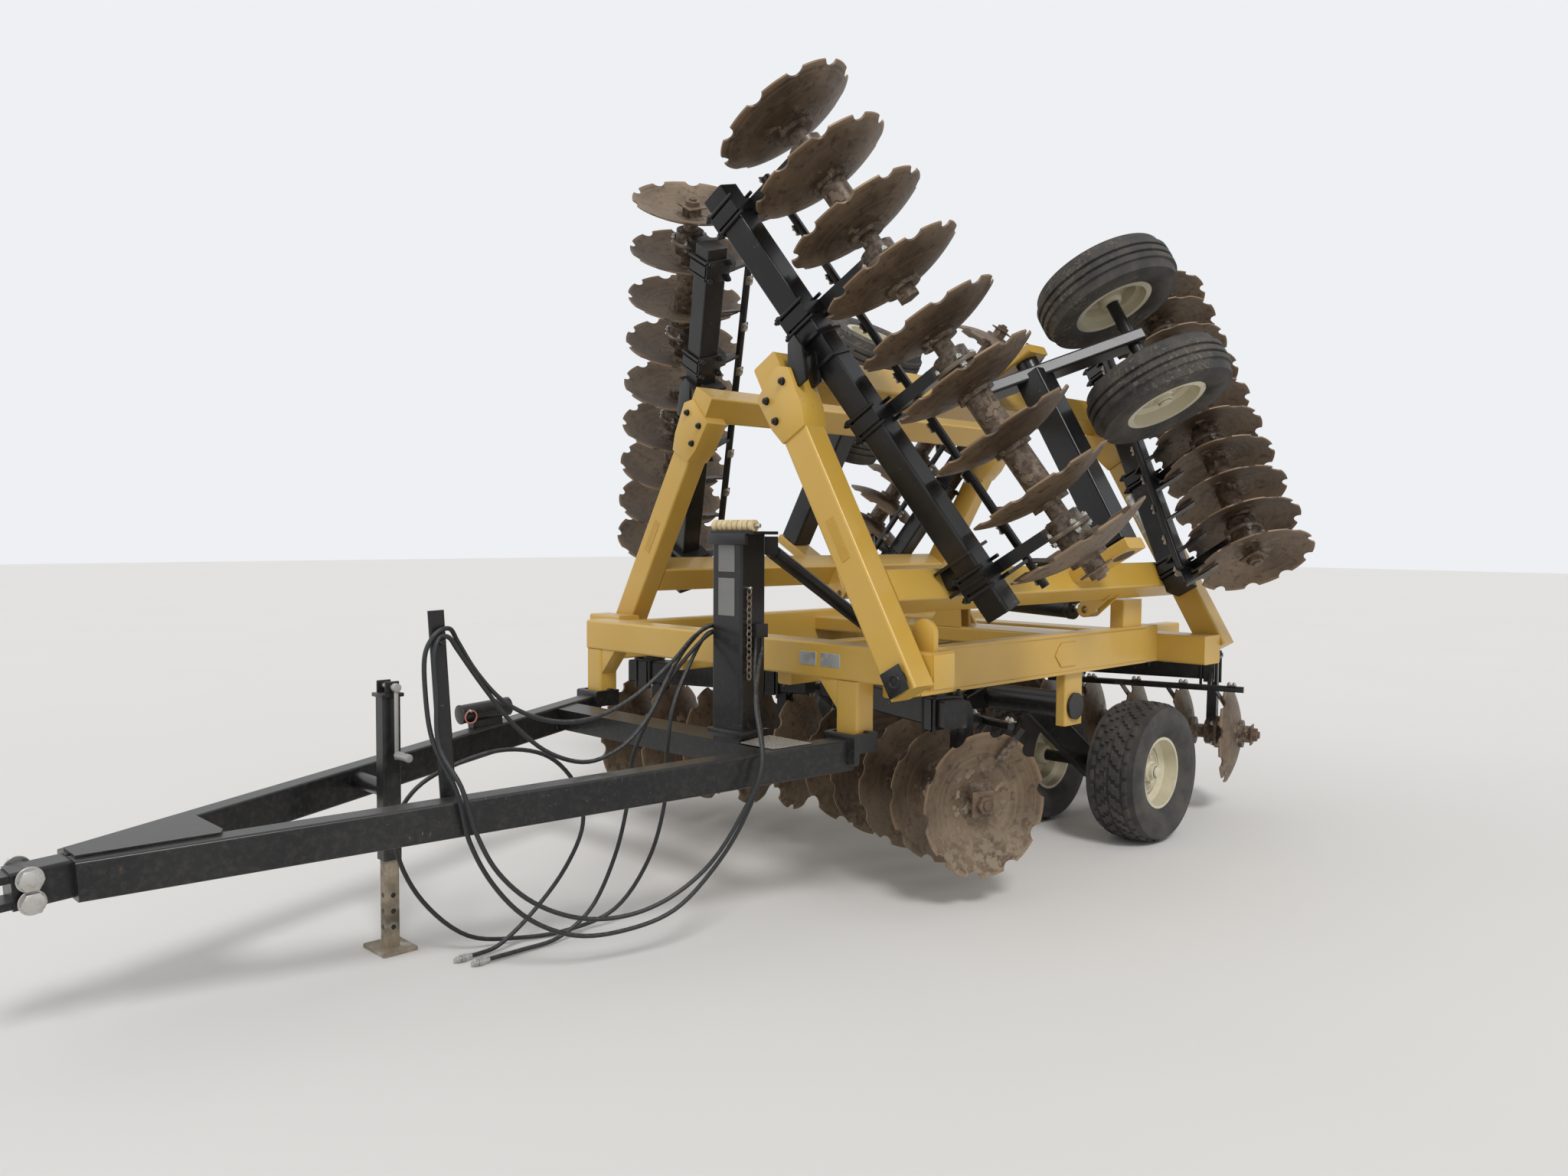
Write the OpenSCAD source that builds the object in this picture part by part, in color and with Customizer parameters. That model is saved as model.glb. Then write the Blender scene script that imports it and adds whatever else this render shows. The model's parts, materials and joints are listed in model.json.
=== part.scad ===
// Tandem wing disc harrow, folded for transport and parked on its jack.
// +X is the machine's left, +Y its rear, +Z up. Lengths are in millimetres.

/* [Main frame] */
// Height of the drawbar-level floor of the front cross beam
beam_z = 1052; // [1000:5:1080]
// Height of the front cross beam section
beam_h = 158; // [140:2:170]
// Depth of the front cross beam section
beam_d = 152; // [130:2:160]
// How far the front cross beam runs out on the right-hand wing's side
beam_reach = 1400; // [1395:5:1450]
// Where the front cross beam ends on the other side
beam_short = 1000; // [1000:5:1050]
// Middle of each front leg, from the centre line
leg_x = 936; // [930:1:940]
// Width of a front leg
leg_w = 126; // [110:2:136]
// Depth of a front leg, front to back
leg_d = 112; // [100:2:130]
// Height of the underside of a front leg
leg_z = 778; // [770:1:800]
// Outer face of a side beam, from the centre line
side_x = 1116; // [1100:2:1130]
// Width of a side beam
side_w = 102; // [90:2:110]
// Height of a side beam
side_h = 211; // [180:1:215]
// Height of the top face of a side beam
side_top = 1185; // [1180:1:1200]
// Front face of the rear cross beam
rear_y = 2450; // [2440:5:2500]
// Depth of the rear cross beam, front to back
rear_d = 190; // [150:5:190]
// Height of the rear cross beam
rear_h = 160; // [140:2:170]

/* [Tongue] */
// Reach of the tongue in front of the legs, to the hitch bolts
tongue_reach = 2889; // [2850:1:2950]
// Height of the upper face at the front of the tongue
tongue_front_z = 629; // [620:1:640]
// Height of the upper face at the rear of the tongue
tongue_rear_z = 814; // [790:1:830]
// Height of a tongue beam
tongue_h = 137; // [120:1:140]
// Width of a tongue beam
tongue_w = 104; // [90:2:110]
// Middle of a tongue beam at the front
tongue_front_x = 58; // [56:1:70]
// Middle of a tongue beam at the legs
tongue_rear_x = 936; // [930:1:940]
// Radius of the drawbar pin's bore
pin_r = 19; // [15:0.5:22]

/* [Wings] */
// Wing hinge axis, from the centre line
hinge_x = 1330; // [1320:1:1345]
// Height of the wing hinge axis
hinge_z = 1100; // [1095:1:1120]
// Wing fold from flat out to the transport position, degrees
wing_fold = 120; // [110:1:122]
// How much further back the other wing is set
wing_stagger = 590; // [580:5:610]
// Width of a wing frame tube, in the plane of the wing
wing_tube_w = 150; // [130:2:152]
// Thickness of a cross tube, front to back
wing_tube_d = 127; // [110:1:130]
// Middle of the inner rail, from the hinge
wing_inner_u = 400; // [380:5:420]
// Middle of the outer rail, from the hinge
wing_outer_u = 1500; // [1450:5:1550]

/* [Gangs] */
// Distance from one disc to the next
disc_pitch = 279.4; // [270:0.1:282]
// Distance between two discs on the wings' rear gangs
rear_pitch = 203.2; // [195:0.1:210]
// Radius of a disc
disc_r = 330; // [322:1:332]
// Radius of a rear gang's disc
rear_disc_r = 305; // [290:1:315]
// Thickness of a disc
disc_t = 8; // [6:0.5:10]
// Depth of a disc's dish
disc_dish = 78; // [70:1:80]
// Notches round a disc
notches = 10; // [8:1:12]
// Radius of a notch
notch_r = 46; // [40:1:48]
// Depth of a notch
notch_depth = 26; // [20:1:30]
// Gang beam section, square
gang_beam = 127; // [110:1:130]
// How far a centre front gang's shaft lies behind its beam
front_back = 110; // [100:1:120]
// How far a wing front gang's shaft lies behind its beam
wing_front_back = 142; // [130:1:160]
// How far a rear gang's shaft lies behind its beam
rear_back = 90; // [80:1:100]
// From the middle of a gang beam down to the gang's shaft
gang_drop = 404; // [395:1:410]
// Angle of the front gangs, degrees
front_angle = 18; // [16:0.5:20]
// Angle of the rear gangs, degrees
rear_angle = 16; // [14:0.5:18]
// Radius of a spool between two discs
spool_r = 62; // [55:1:65]
// Radius of a spool's flange at a disc
flange_r = 84; // [78:1:88]
// Radius of the shaft inside a bearing
journal_r = 42; // [38:1:45]
// Running clearance of the shaft in a bearing
journal_gap = 0.08; // [0.05:0.01:0.1]
// Height of the centre gangs' shafts
gang_z = 478; // [470:1:485]

/* [Wheels] */
// Radius of a main tyre
tyre_r = 387; // [380:1:390]
// Width of a main tyre
tyre_w = 304; // [280:2:306]
// Main wheel axle, behind the legs
axle_y = 2211; // [2200:1:2220]
// Middle of the outer main wheel, from the centre line
wheel_outer_x = 1165; // [1150:1:1170]
// Middle of the inner main wheel, from the centre line
wheel_inner_x = 470; // [460:1:480]
// Rockshaft axis behind the legs
rock_y = 1600; // [1590:5:1620]
// Height of the rockshaft axis
rock_z = 800; // [790:1:810]
// Radius of a wing tyre
wing_tyre_r = 372; // [360:1:375]
// Width of a wing tyre
wing_tyre_w = 232; // [220:2:236]

/* [Hidden] */
// Corner radius of square tube
corner = 12;
// Gap between pieces that move past each other
clear = 8;
// Where the middle of the machine's length lies, behind the legs
mid_y = 338.6;
SIDES = [1, -1];
// Discs on a centre gang and on a wing gang
centre_discs = 5;
wing_front_discs = 9;
wing_rear_discs = 10;
// First disc of a wing front gang's outer section
split = 5;
// Bearings sit half way between two discs, counted from the inner end
CENTRE_BEARINGS = [0, 3];
WING_FRONT_BEARINGS = [0, 3, 5, 7];
WING_REAR_BEARINGS = [0, 3, 7];
// Scraper bar from the shaft: back, up
FRONT_SCRAPER = [170, 338];
REAR_SCRAPER = [-232, 300];
// Columns: number of discs, pitch, disc radius, shaft behind beam, side the discs are dished to, scraper bar
CENTRE_FRONT = [centre_discs, disc_pitch, disc_r, front_back, 1, FRONT_SCRAPER];
CENTRE_REAR = [centre_discs, disc_pitch, rear_disc_r, rear_back, -1, REAR_SCRAPER];
WING_FRONT = [wing_front_discs, disc_pitch, disc_r, wing_front_back, 1, FRONT_SCRAPER];
WING_REAR = [wing_rear_discs, rear_pitch, rear_disc_r, rear_back, -1, REAR_SCRAPER];
// Columns: middle of a centre gang's beam, outward from the centre line, back from the legs
FRONT_CENTRE = [645, 640];
REAR_CENTRE = [750, 3020];
// Columns: middle of a wing gang's beam, outward from the hinge, back from the front tube, below the hinge
FRONT_WING = [1240, 245, hinge_z - gang_z - gang_drop];
REAR_WING = [1202, 2731, (wing_tube_w + gang_beam) / 2];
// Gap between a wing's tubes and what they are pinned to
hinge_gap = 6;
wing_front_y = -wing_tube_d - hinge_gap;
wing_len = rear_y + rear_d + hinge_gap + wing_tube_d - wing_front_y;
// Height of a centre gang beam
centre_beam_z = gang_z + gang_drop;

// Shared shapes

module section(w, h) {
    square([w - 2 * corner, h], center = true);
    square([w, h - 2 * corner], center = true);
    for (x = [-1, 1], y = [-1, 1])
        translate([x * (w / 2 - corner), y * (h / 2 - corner)]) circle(corner, $fn = 32);
}

module tube_x(x0, x1, d, h) {
    translate([x0, 0, 0]) rotate([90, 0, 90]) linear_extrude(x1 - x0) section(d, h);
}

module tube_y(y0, y1, w, h) {
    translate([0, y0, 0]) rotate([-90, 0, 0]) linear_extrude(y1 - y0) section(w, h);
}

module tube_z(z0, z1, w, d) {
    translate([0, 0, z0]) linear_extrude(z1 - z0) section(w, d);
}

module rod_x(r, x0, x1) {
    translate([x0, 0, 0]) rotate([0, 90, 0]) cylinder(r = r, h = x1 - x0, $fn = 48);
}

module rod_y(r, y0, y1) {
    translate([0, y0, 0]) rotate([-90, 0, 0]) cylinder(r = r, h = y1 - y0, $fn = 48);
}

module place() {
    translate([0, -mid_y, 0]) children();
}

// Left is the machine's left, at +X
function side_name(side) = side > 0 ? "left" : "right";

// A wing is drawn lying flat: X outward from its hinge, Y back from its front tube, Z up
function wing_y(side) = wing_front_y + (side > 0 ? 0 : wing_stagger);

module on_wing(side) {
    place() translate([side * hinge_x, wing_y(side), hinge_z])
        mirror([side > 0 ? 0 : 1, 0, 0]) rotate([0, -wing_fold, 0]) children();
}

// A gang is drawn along X, outward, with its beam's middle at the origin
module on_gang(side, front, wing) {
    angle = front ? -front_angle : rear_angle;
    if (wing) {
        spot = front ? FRONT_WING : REAR_WING;
        on_wing(side) translate([spot[0], spot[1], -spot[2]]) rotate([0, 0, angle]) children();
    } else {
        spot = front ? FRONT_CENTRE : REAR_CENTRE;
        place() mirror([side > 0 ? 0 : 1, 0, 0])
            translate([spot[0], spot[1], centre_beam_z]) rotate([0, 0, angle]) children();
    }
}

// Gangs

function disc_x(i, gang) = (i - (gang[0] - 1) / 2) * gang[1];

module disc(r) {
    bend = (r * r + disc_dish * disc_dish) / (2 * disc_dish);
    difference() {
        intersection() {
            translate([0, 0, bend]) difference() {
                sphere(bend, $fn = 96);
                sphere(bend - disc_t, $fn = 96);
            }
            cylinder(r = r, h = disc_dish + disc_t, $fn = 96);
        }
        for (i = [0 : notches - 1])
            rotate([0, 0, (i + 0.5) * 360 / notches])
                translate([r - notch_depth + notch_r, 0, -1])
                    cylinder(r = notch_r, h = disc_dish + disc_t + 2, $fn = 40);
    }
}

// Shaft outline from one disc to the next: radius, place along the shaft
flange_t = 14;
nut_r = 52;
nut_len = 46;

function holds(list, i) = len([for (v = list) if (v == i) v]) > 0;

function spool_steps(i, gang, bearings) =
    let (x0 = disc_x(i, gang), x1 = disc_x(i + 1, gang), r = holds(bearings, i) ? journal_r : spool_r)
    [[flange_r, x0 + flange_t], [r, x0 + flange_t], [r, x1 - flange_t], [flange_r, x1 - flange_t]];

function shaft_outline(first, last, gang, bearings) =
    let (x0 = disc_x(first, gang) - flange_t, x1 = disc_x(last, gang) + flange_t)
    concat(
        [[0, x0], [flange_r, x0]],
        [for (i = [first : 1 : last - 1], step = spool_steps(i, gang, bearings)) step],
        [[flange_r, x1], [0, x1]]);

module gang_rotor(first, last, gang, bearings) {
    translate([0, gang[3], -gang_drop]) {
        rotate([0, 90, 0]) rotate_extrude($fn = 48) polygon(shaft_outline(first, last, gang, bearings));
        for (end = [[first, -1], [last, 1]])
            translate([disc_x(end[0], gang) + end[1] * (flange_t + nut_len / 2 - 0.5), 0, 0]) rotate([0, 90, 0])
                cylinder(r = nut_r, h = nut_len + 1, center = true, $fn = 6);
        for (i = [first : last])
            translate([disc_x(i, gang), 0, 0]) rotate([0, 90 * gang[4], 0]) rotate([0, 0, 11 * i]) disc(gang[2]);
    }
}

bearing_len = 130;
bearing_r = 78;
standard_w = 56;
standard_d = 92;
// How far a standard stands off its bearing's middle, to the side the discs are dished to
standard_off = 32;

// A standard leaves the back of the beam, turns down and ends round its bearing
module standard(back, side) {
    outer = gang_beam / 2 + standard_d;
    low = -gang_drop + bearing_r / 2;
    translate([side * standard_off - standard_w / 2, 0, 0]) rotate([90, 0, 90]) linear_extrude(standard_w) polygon([
        [-gang_beam / 2 - 16, gang_beam / 2], [gang_beam / 2, gang_beam / 2], [outer - 20, gang_beam / 2 - 20],
        [outer, 0], [back + 50, low], [back - 50, low],
        [gang_beam / 2 + 4, -gang_beam / 2 - 14], [-gang_beam / 2 - 16, -gang_beam / 2 - 14]]);
    translate([0, back, -gang_drop]) rod_x(bearing_r, -bearing_len / 2, bearing_len / 2);
}

// Scrapers: a bar beside the beam, and a blade into each disc's hollow side
scraper_bar = 36;
scraper_w = 44;
scraper_t = 9;
// Depth of a blade's tip in its disc's hollow, and its slant out over the rim
scraper_in = 54;
scraper_slant = 21;

module scrapers(gang, bearings) {
    y = gang[3] + gang[5][0];
    z = -gang_drop + gang[5][1];
    tip = 0.62 * gang[2];
    reach = (norm(gang[5]) - tip) / cos(scraper_slant);
    near = sign(y) * (gang_beam / 2 - 1);
    translate([0, y, z]) tube_x(disc_x(0, gang) - 20, disc_x(gang[0] - 1, gang) + 40, scraper_bar, scraper_bar);
    for (i = bearings) translate([disc_x(i, gang) + gang[1] / 2 - 24, 0, 0])
        rotate([90, 0, 90]) linear_extrude(16)
            polygon([[near, 20], [near, -gang_beam / 2 + 2], [y, z - 12], [y, z + 12]]);
    for (i = [0 : gang[0] - 1])
        translate([disc_x(i, gang) + gang[4] * scraper_in, gang[3], -gang_drop])
            rotate([90, 0, 90]) rotate([0, 0, atan2(gang[5][1], gang[5][0])])
                translate([tip, 0, 0]) rotate([0, -gang[4] * scraper_slant, 0])
                    linear_extrude(scraper_t, center = true)
                        polygon([[0, -scraper_w / 2], [reach, -scraper_w / 2 + 6],
                            [reach, scraper_w / 2 - 6], [0, scraper_w / 2]]);
}

// Cheek plates that clamp a gang beam under a rail
cheek_t = 14;
cheek_low = 96;
cheek_high = 170;

module cheeks(x, top) {
    for (edge = [-1, 1]) translate([x + edge * (pad_w / 2 + cheek_t), 0, 0])
        rotate([90, 0, 90]) linear_extrude(cheek_t, center = true)
            polygon([[-cheek_low, -gang_beam / 2 - 10], [cheek_low, -gang_beam / 2 - 10],
                [cheek_high / 2, top], [-cheek_high / 2, top]]);
}

module gang_frame(gang, bearings, over_in, over_out) {
    low = disc_x(0, gang);
    high = disc_x(gang[0] - 1, gang);
    scrapers(gang, bearings);
    difference() {
        union() {
            tube_x(low - over_in, high + over_out, gang_beam, gang_beam);
            for (i = bearings) translate([disc_x(i, gang) + gang[1] / 2, 0, 0]) standard(gang[3], gang[4]);
        }
        translate([0, gang[3], -gang_drop]) rod_x(journal_r + journal_gap, low, high);
    }
}

module front_gang_frames() {
    color("#1c1d1e") for (side = SIDES) on_gang(side, true, false) {
        gang_frame(CENTRE_FRONT, CENTRE_BEARINGS, 40, 0);
        frame_pad(side_x - side_w / 2 - FRONT_CENTRE[0], -front_angle);
        frame_pad(inner_rail_x - FRONT_CENTRE[0], -front_angle);
    }
}

// A pad between a centre gang beam and the frame member over it
module frame_pad(x, angle) {
    rotate([0, 0, -angle]) translate([x, x * tan(angle), 0])
        tube_z(0, side_top - side_h - centre_beam_z, pad_w, gang_beam);
}

module rear_gang_frames() {
    color("#1c1d1e") for (side = SIDES) on_gang(side, false, false) {
        gang_frame(CENTRE_REAR, CENTRE_BEARINGS, 0, -140);
        frame_pad(rail_x - REAR_CENTRE[0], rear_angle);
    }
}

module wing_gang_frames(side) {
    color("#1c1d1e") {
        on_gang(side, true, true) {
            gang_frame(WING_FRONT, WING_FRONT_BEARINGS, 9, 9);
            for (u = [wing_inner_u, wing_outer_u])
                cheeks((u - FRONT_WING[0]) / cos(front_angle), FRONT_WING[2] - wing_tube_w / 2 - 8);
        }
        on_gang(side, false, true) gang_frame(WING_REAR, WING_REAR_BEARINGS, 60, 60);
        wing_pads(side);
    }
}

// Blocks between the wing's rails and its front gang beam
module wing_pads(side) {
    on_wing(side) for (u = [wing_inner_u, wing_outer_u])
        translate([u, FRONT_WING[1] - tan(front_angle) * (u - FRONT_WING[0]), 0])
            tube_z(-FRONT_WING[2], -wing_tube_w / 2, 90, 90);
}

module centre_discs_of(side, front) {
    color("#5b4a3c") on_gang(side, front, false)
        gang_rotor(0, centre_discs - 1, front ? CENTRE_FRONT : CENTRE_REAR, CENTRE_BEARINGS);
}

module wing_front_discs_of(side, first, last) {
    color("#5b4a3c") on_gang(side, true, true) gang_rotor(first, last, WING_FRONT, WING_FRONT_BEARINGS);
}

module wing_rear_discs_of(side) {
    color("#5b4a3c") on_gang(side, false, true)
        gang_rotor(0, wing_rear_discs - 1, WING_REAR, WING_REAR_BEARINGS);
}

// Main frame

hinge_pin_r = 30;
pin_gap = 0.08;
// Length of a hinge ear, front to back
ear_t = 145;
// Rails behind the rear cross beam, over the rear gangs
rail_x = 760;
rail_w = 100;
rail_end_y = 3330;
// Rails inside the frame, over the front gangs
inner_rail_x = 400;
inner_rail_h = 80;
pad_w = 90;
base_z = side_top - side_h;

function ear_y(side, front) = front ? wing_y(side) - hinge_gap - ear_t
    : wing_y(side) + wing_len - wing_tube_d - hinge_gap - ear_t;
function side_end(side) = side > 0 ? rear_y : ear_y(side, false) + ear_t;

// The pin that stands out of the frame through a wing's tube
module hinge_pin(side, front) {
    y = wing_y(side) + (front ? 0 : wing_len - wing_tube_d);
    ahead = side > 0 && front;
    translate([side * hinge_x, 0, hinge_z])
        rod_y(hinge_pin_r, y - (ahead ? 10 : hinge_gap + 20), y + wing_tube_d + (ahead ? hinge_gap + 20 : 10));
}

module front_beam() {
    color("#c99a45") place() {
        translate([0, beam_d / 2, beam_z + beam_h / 2]) tube_x(-beam_short, beam_reach, beam_d, beam_h);
        hinge_pin(1, true);
    }
}

module front_legs() {
    color("#c99a45") place() for (side = SIDES) difference() {
        translate([side * leg_x, leg_d / 2, 0]) tube_z(leg_z, beam_z, leg_w, leg_d);
        translate([0, tongue_pivot_y, tongue_pivot_z]) rod_x(tongue_pin_r + pin_gap, -2000, 2000);
    }
}

// Hangers that carry the rockshaft
hanger_w = 60;
hanger_d = 170;
hanger_drop = 100;
rock_r = 70;
// Posts that the folded wings' rails come down beside
rest_y = 2180;
rest_w = 90;
rest_d = 200;
rest_top = 1338;

module side_beam(side) {
    mid_x = side * (side_x - side_w / 2);
    difference() {
        union() {
            translate([mid_x, 0, side_top - side_h / 2]) tube_y(beam_d, side_end(side), side_w, side_h);
            translate([mid_x, rock_y, 0]) tube_z(rock_z - hanger_drop, base_z + 1, hanger_w, hanger_d);
            translate([mid_x, rest_y + wing_y(side) - wing_front_y, 0])
                tube_z(side_top - 1, rest_top, rest_w, rest_d);
        }
        translate([0, rock_y, rock_z]) rod_x(rock_r + pin_gap, -2000, 2000);
    }
    if (side < 0) for (front = [true, false]) {
        translate([0, ear_y(side, front) + ear_t / 2, beam_z + beam_h / 2])
            tube_x(-beam_reach, -side_x + 1, ear_t, beam_h);
        hinge_pin(side, front);
    }
}

module side_beams() {
    color("#c99a45") place() for (side = SIDES) side_beam(side);
}

module rear_beam() {
    color("#c99a45") place() {
        translate([0, rear_y + rear_d / 2, base_z + rear_h / 2])
            tube_x(-side_x + side_w, beam_reach, rear_d, rear_h);
        for (side = SIDES) translate([side * rail_x, 0, base_z + rear_h / 2])
            tube_y(rear_y + rear_d - 1, rail_end_y, rail_w, rear_h);
        hinge_pin(1, false);
    }
}

module inner_rails() {
    color("#c99a45") place() for (side = SIDES)
        translate([side * inner_rail_x, 0, base_z + inner_rail_h / 2])
            tube_y(beam_d, rear_y, pad_w, inner_rail_h);
}

// Tongue

tongue_pivot_y = leg_d / 2;
tongue_pivot_z = leg_z + 40;
tongue_pin_r = 20;
// Gap between a tongue beam's end and the legs
tongue_gap = 15;
// From the hitch bolts back to the front end of the tongue beams
bolts_ahead = 122;
front_y = -tongue_reach + bolts_ahead;
tongue_slope = atan2(tongue_rear_z - tongue_front_z, tongue_reach);
tongue_len = (-front_y - tongue_gap) / cos(tongue_slope);
tongue_yaw = atan2(tongue_rear_x - tongue_front_x, tongue_len);
ear_gap = 6;
ear_plate = 22;
end_block = 34;

// The tongue is drawn on its sloping upper face: Y back from its front end, Z up
module on_tongue() {
    place() translate([0, front_y, tongue_front_z]) rotate([tongue_slope, 0, 0]) children();
}

function tongue_mid_x(y) = tongue_front_x + (tongue_rear_x - tongue_front_x) * y / tongue_len;
function tongue_inner_x(y) = tongue_mid_x(y) - tongue_w / 2 / cos(tongue_yaw);

module tongue_beams() {
    color("#1c1d1e") {
        on_tongue() for (side = SIDES) intersection() {
            translate([side * tongue_front_x, 0, -tongue_h / 2]) rotate([0, 0, -side * tongue_yaw])
                tube_y(-100, tongue_len + 300, tongue_w, tongue_h);
            translate([side > 0 ? 0.5 : -2000.5, 0, -tongue_h - 1]) cube([2000, tongue_len, tongue_h + 2]);
        }
        place() for (side = SIDES) {
            wide = leg_w / 2 + ear_gap + ear_plate;
            translate([side * leg_x, -tongue_gap - end_block / 2 + 1, tongue_pivot_z - 55])
                tube_x(-wide, wide, end_block, tongue_h - 4);
            for (edge = [-1, 1])
                translate([side * leg_x + edge * (wide - ear_plate / 2), 0, tongue_pivot_z - 30])
                    rotate([-90, 0, 0]) translate([0, 0, -tongue_gap - 8])
                        linear_extrude(leg_d + tongue_gap) square([ear_plate, 84], center = true);
            translate([side * leg_x, tongue_pivot_y, tongue_pivot_z]) rod_x(tongue_pin_r, -wide, wide);
        }
    }
}

cross_y = 2430;
cross_d = 150;
cross_h = 105;
cross_drop = 10;

module tongue_crossbar() {
    color("#1c1d1e") on_tongue() {
        x0 = tongue_inner_x(cross_y) - 0.02;
        x1 = tongue_inner_x(cross_y + cross_d) - 0.02;
        translate([0, 0, -cross_h - cross_drop]) linear_extrude(cross_h)
            polygon([[-x0, cross_y], [x0, cross_y], [x1, cross_y + cross_d], [-x1, cross_y + cross_d]]);
    }
}

clevis_len = 300;
clevis_w = 110;
clevis_t = 25;
clevis_gap = 60;
clevis_z = -67;
hitch_block = 170;
bolt_r = 28;
bolt_rise = 37;

module hitch_clevis() {
    color("#1c1d1e") on_tongue() {
        translate([0, 0, clevis_z]) tube_y(-hitch_block, 0, 130, 125);
        for (side = [-1, 1]) difference() {
            union() {
                translate([0, (-clevis_len - hitch_block + 10) / 2, clevis_z + side * (clevis_gap + clevis_t) / 2])
                    cube([clevis_w, clevis_len - hitch_block + 10, clevis_t], center = true);
                translate([0, -clevis_len, clevis_z + side * (clevis_gap + clevis_t) / 2])
                    cylinder(r = clevis_w / 2, h = clevis_t, center = true, $fn = 48);
            }
            translate([0, -clevis_len, clevis_z]) cylinder(r = pin_r, h = 200, center = true, $fn = 48);
        }
        for (z = [-bolt_rise, bolt_rise]) translate([0, -bolts_ahead, clevis_z + z]) rod_x(bolt_r, -85, 85);
        linear_extrude(10)
            polygon([[-70, 10], [70, 10], [190, 420], [150, 440], [-150, 440], [-190, 420]]);
    }
}

mast_x = 530;
mast_w = 190;
mast_top = 1690;
mast_y = front_y + (cross_y + cross_d / 2) * cos(tongue_slope);
mast_d = cross_d - 4;
lug_t = 20;
link_w = 44;
link_eye_r = 40;

module mast() {
    color("#1c1d1e") {
        difference() {
            place() translate([mast_x, mast_y, 0]) tube_z(700, mast_top, mast_w, mast_d);
            on_tongue() translate([mast_x - 500, cross_y - 500, -cross_drop - 400]) cube([1000, 1150, 400]);
        }
        place() {
            translate([mast_x + 20, mast_y + 10, mast_top - 1]) tube_z(0, 14, mast_w + 90, mast_d + 20);
            for (edge = [-1, 1]) translate([mast_x + edge * (link_w / 2 + ear_gap + lug_t / 2), 0, link_z0])
                rotate([-90, 0, 0]) translate([0, 0, mast_y + mast_d / 2 - 1])
                    linear_extrude(link_y0 + link_eye_r - mast_y - mast_d / 2)
                        square([lug_t, 2 * link_eye_r], center = true);
            translate([mast_x, link_y0, link_z0]) rod_x(link_pin_r, -link_w / 2 - 20, link_w / 2 + 20);
            for (x = [mast_x - mast_w / 2 - clip_w / 2 + 0.5, mast_x + mast_w / 2 + clip_w / 2 - 0.5])
                translate([x, clip_y, clip_z]) cube([clip_w, clip_d, clip_h], center = true);
        }
    }
}

// Blocks on the mast's sides that the hoses are clipped in
clip_w = 44;
clip_d = 70;
clip_h = 60;
clip_y = -255;
clip_z = 1270;
post_y = 1175;
post_w = 60;
post_t = 25;
post_top = 700;
// How far up the post the hoses hang on its hook
hook_h = 583;
stub_y = 1950;
stub_r = 45;

// The hose post on one beam and the spare stub for the jack on the other
module tongue_fittings() {
    jack_stub();
    color("#1c1d1e") on_tongue() {
        translate([tongue_inner_x(post_y) - post_t / 2 / cos(tongue_yaw), post_y, 0]) rotate([0, 0, -tongue_yaw])
            tube_z(-110, post_top, post_t, post_w);
        translate([tongue_inner_x(post_y) - post_t - 2, post_y, hook_h]) rod_x(10, 0, 60);
        translate([-tongue_mid_x(stub_y), stub_y, stub_r + 30]) {
            rod_y(stub_r, -130, 130);
            translate([0, 0, -stub_r - 30]) linear_extrude(40) square([50, 160], center = true);
        }
    }
}

jack_x = -104;
jack_y = -1600;
jack_half = 38;
jack_leg_half = 30;
jack_top = 1034;
jack_low = 370;
jack_leg_top = 620;
jack_pivot_z = 650;
stub_pin_r = 34;

module jack_tube() {
    color("#1c1d1e") place() translate([jack_x, jack_y, 0]) difference() {
        tube_z(jack_low, jack_top, 2 * jack_half, 2 * jack_half);
        tube_z(jack_low - 1, jack_top - 20, 2 * jack_leg_half + 1, 2 * jack_leg_half + 1);
    }
}

// The swivel stub that the jack hangs on, out of the beam's inner face
module jack_stub() {
    color("#1c1d1e") difference() {
        place() translate([jack_x - jack_half - 0.5, jack_y, jack_pivot_z]) rod_x(stub_pin_r, -400, 0);
        on_tongue() translate([-tongue_front_x, 0, -tongue_h / 2]) rotate([0, 0, tongue_yaw])
            translate([-1000, 0, -tongue_h]) cube([1000 + tongue_w / 2, 3000, 2 * tongue_h]);
    }
}

module jack_leg() {
    color("#8a7a5c") place() translate([jack_x, jack_y, 0]) {
        tube_z(12, jack_leg_top, 2 * jack_leg_half, 2 * jack_leg_half);
        tube_z(0, 12.5, 190, 150);
    }
}

link_y0 = -110;
link_z0 = 1640;
lever_y = -190;
lever_z = -20;
link_pin_r = 16;
link_y1 = rock_y + lever_y;
link_z1 = rock_z + lever_z;

module level_link() {
    color("#1c1d1e") place() translate([mast_x, link_y0, link_z0])
        rotate([atan2(link_z1 - link_z0, link_y1 - link_y0), 0, 0]) {
            reach = norm([link_z1 - link_z0, link_y1 - link_y0]);
            rod_y(34, 72, reach - 50);
            for (y = [0, reach]) difference() {
                union() {
                    translate([0, y, 0]) rod_x(link_eye_r, -link_w / 2, link_w / 2);
                    tube_y(y > 0 ? y - 60 : 0, y > 0 ? y : 80, link_w, 60);
                }
                translate([0, y, 0]) rod_x(y > 0 ? link_pin_r + 5 : link_pin_r + pin_gap, -100, 100);
            }
        }
}

// Wheels

axle_r = 32;
arm_w = 60;
arm_h = 150;
arm_x = (wheel_outer_x + wheel_inner_x) / 2;
arm_len = norm([axle_y - rock_y, rock_z - tyre_r]);
arm_angle = -atan2(rock_z - tyre_r, axle_y - rock_y);
rim_r = 192;
rim_w = 230;
hub_r = 62;
hub_len = 170;

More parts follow.
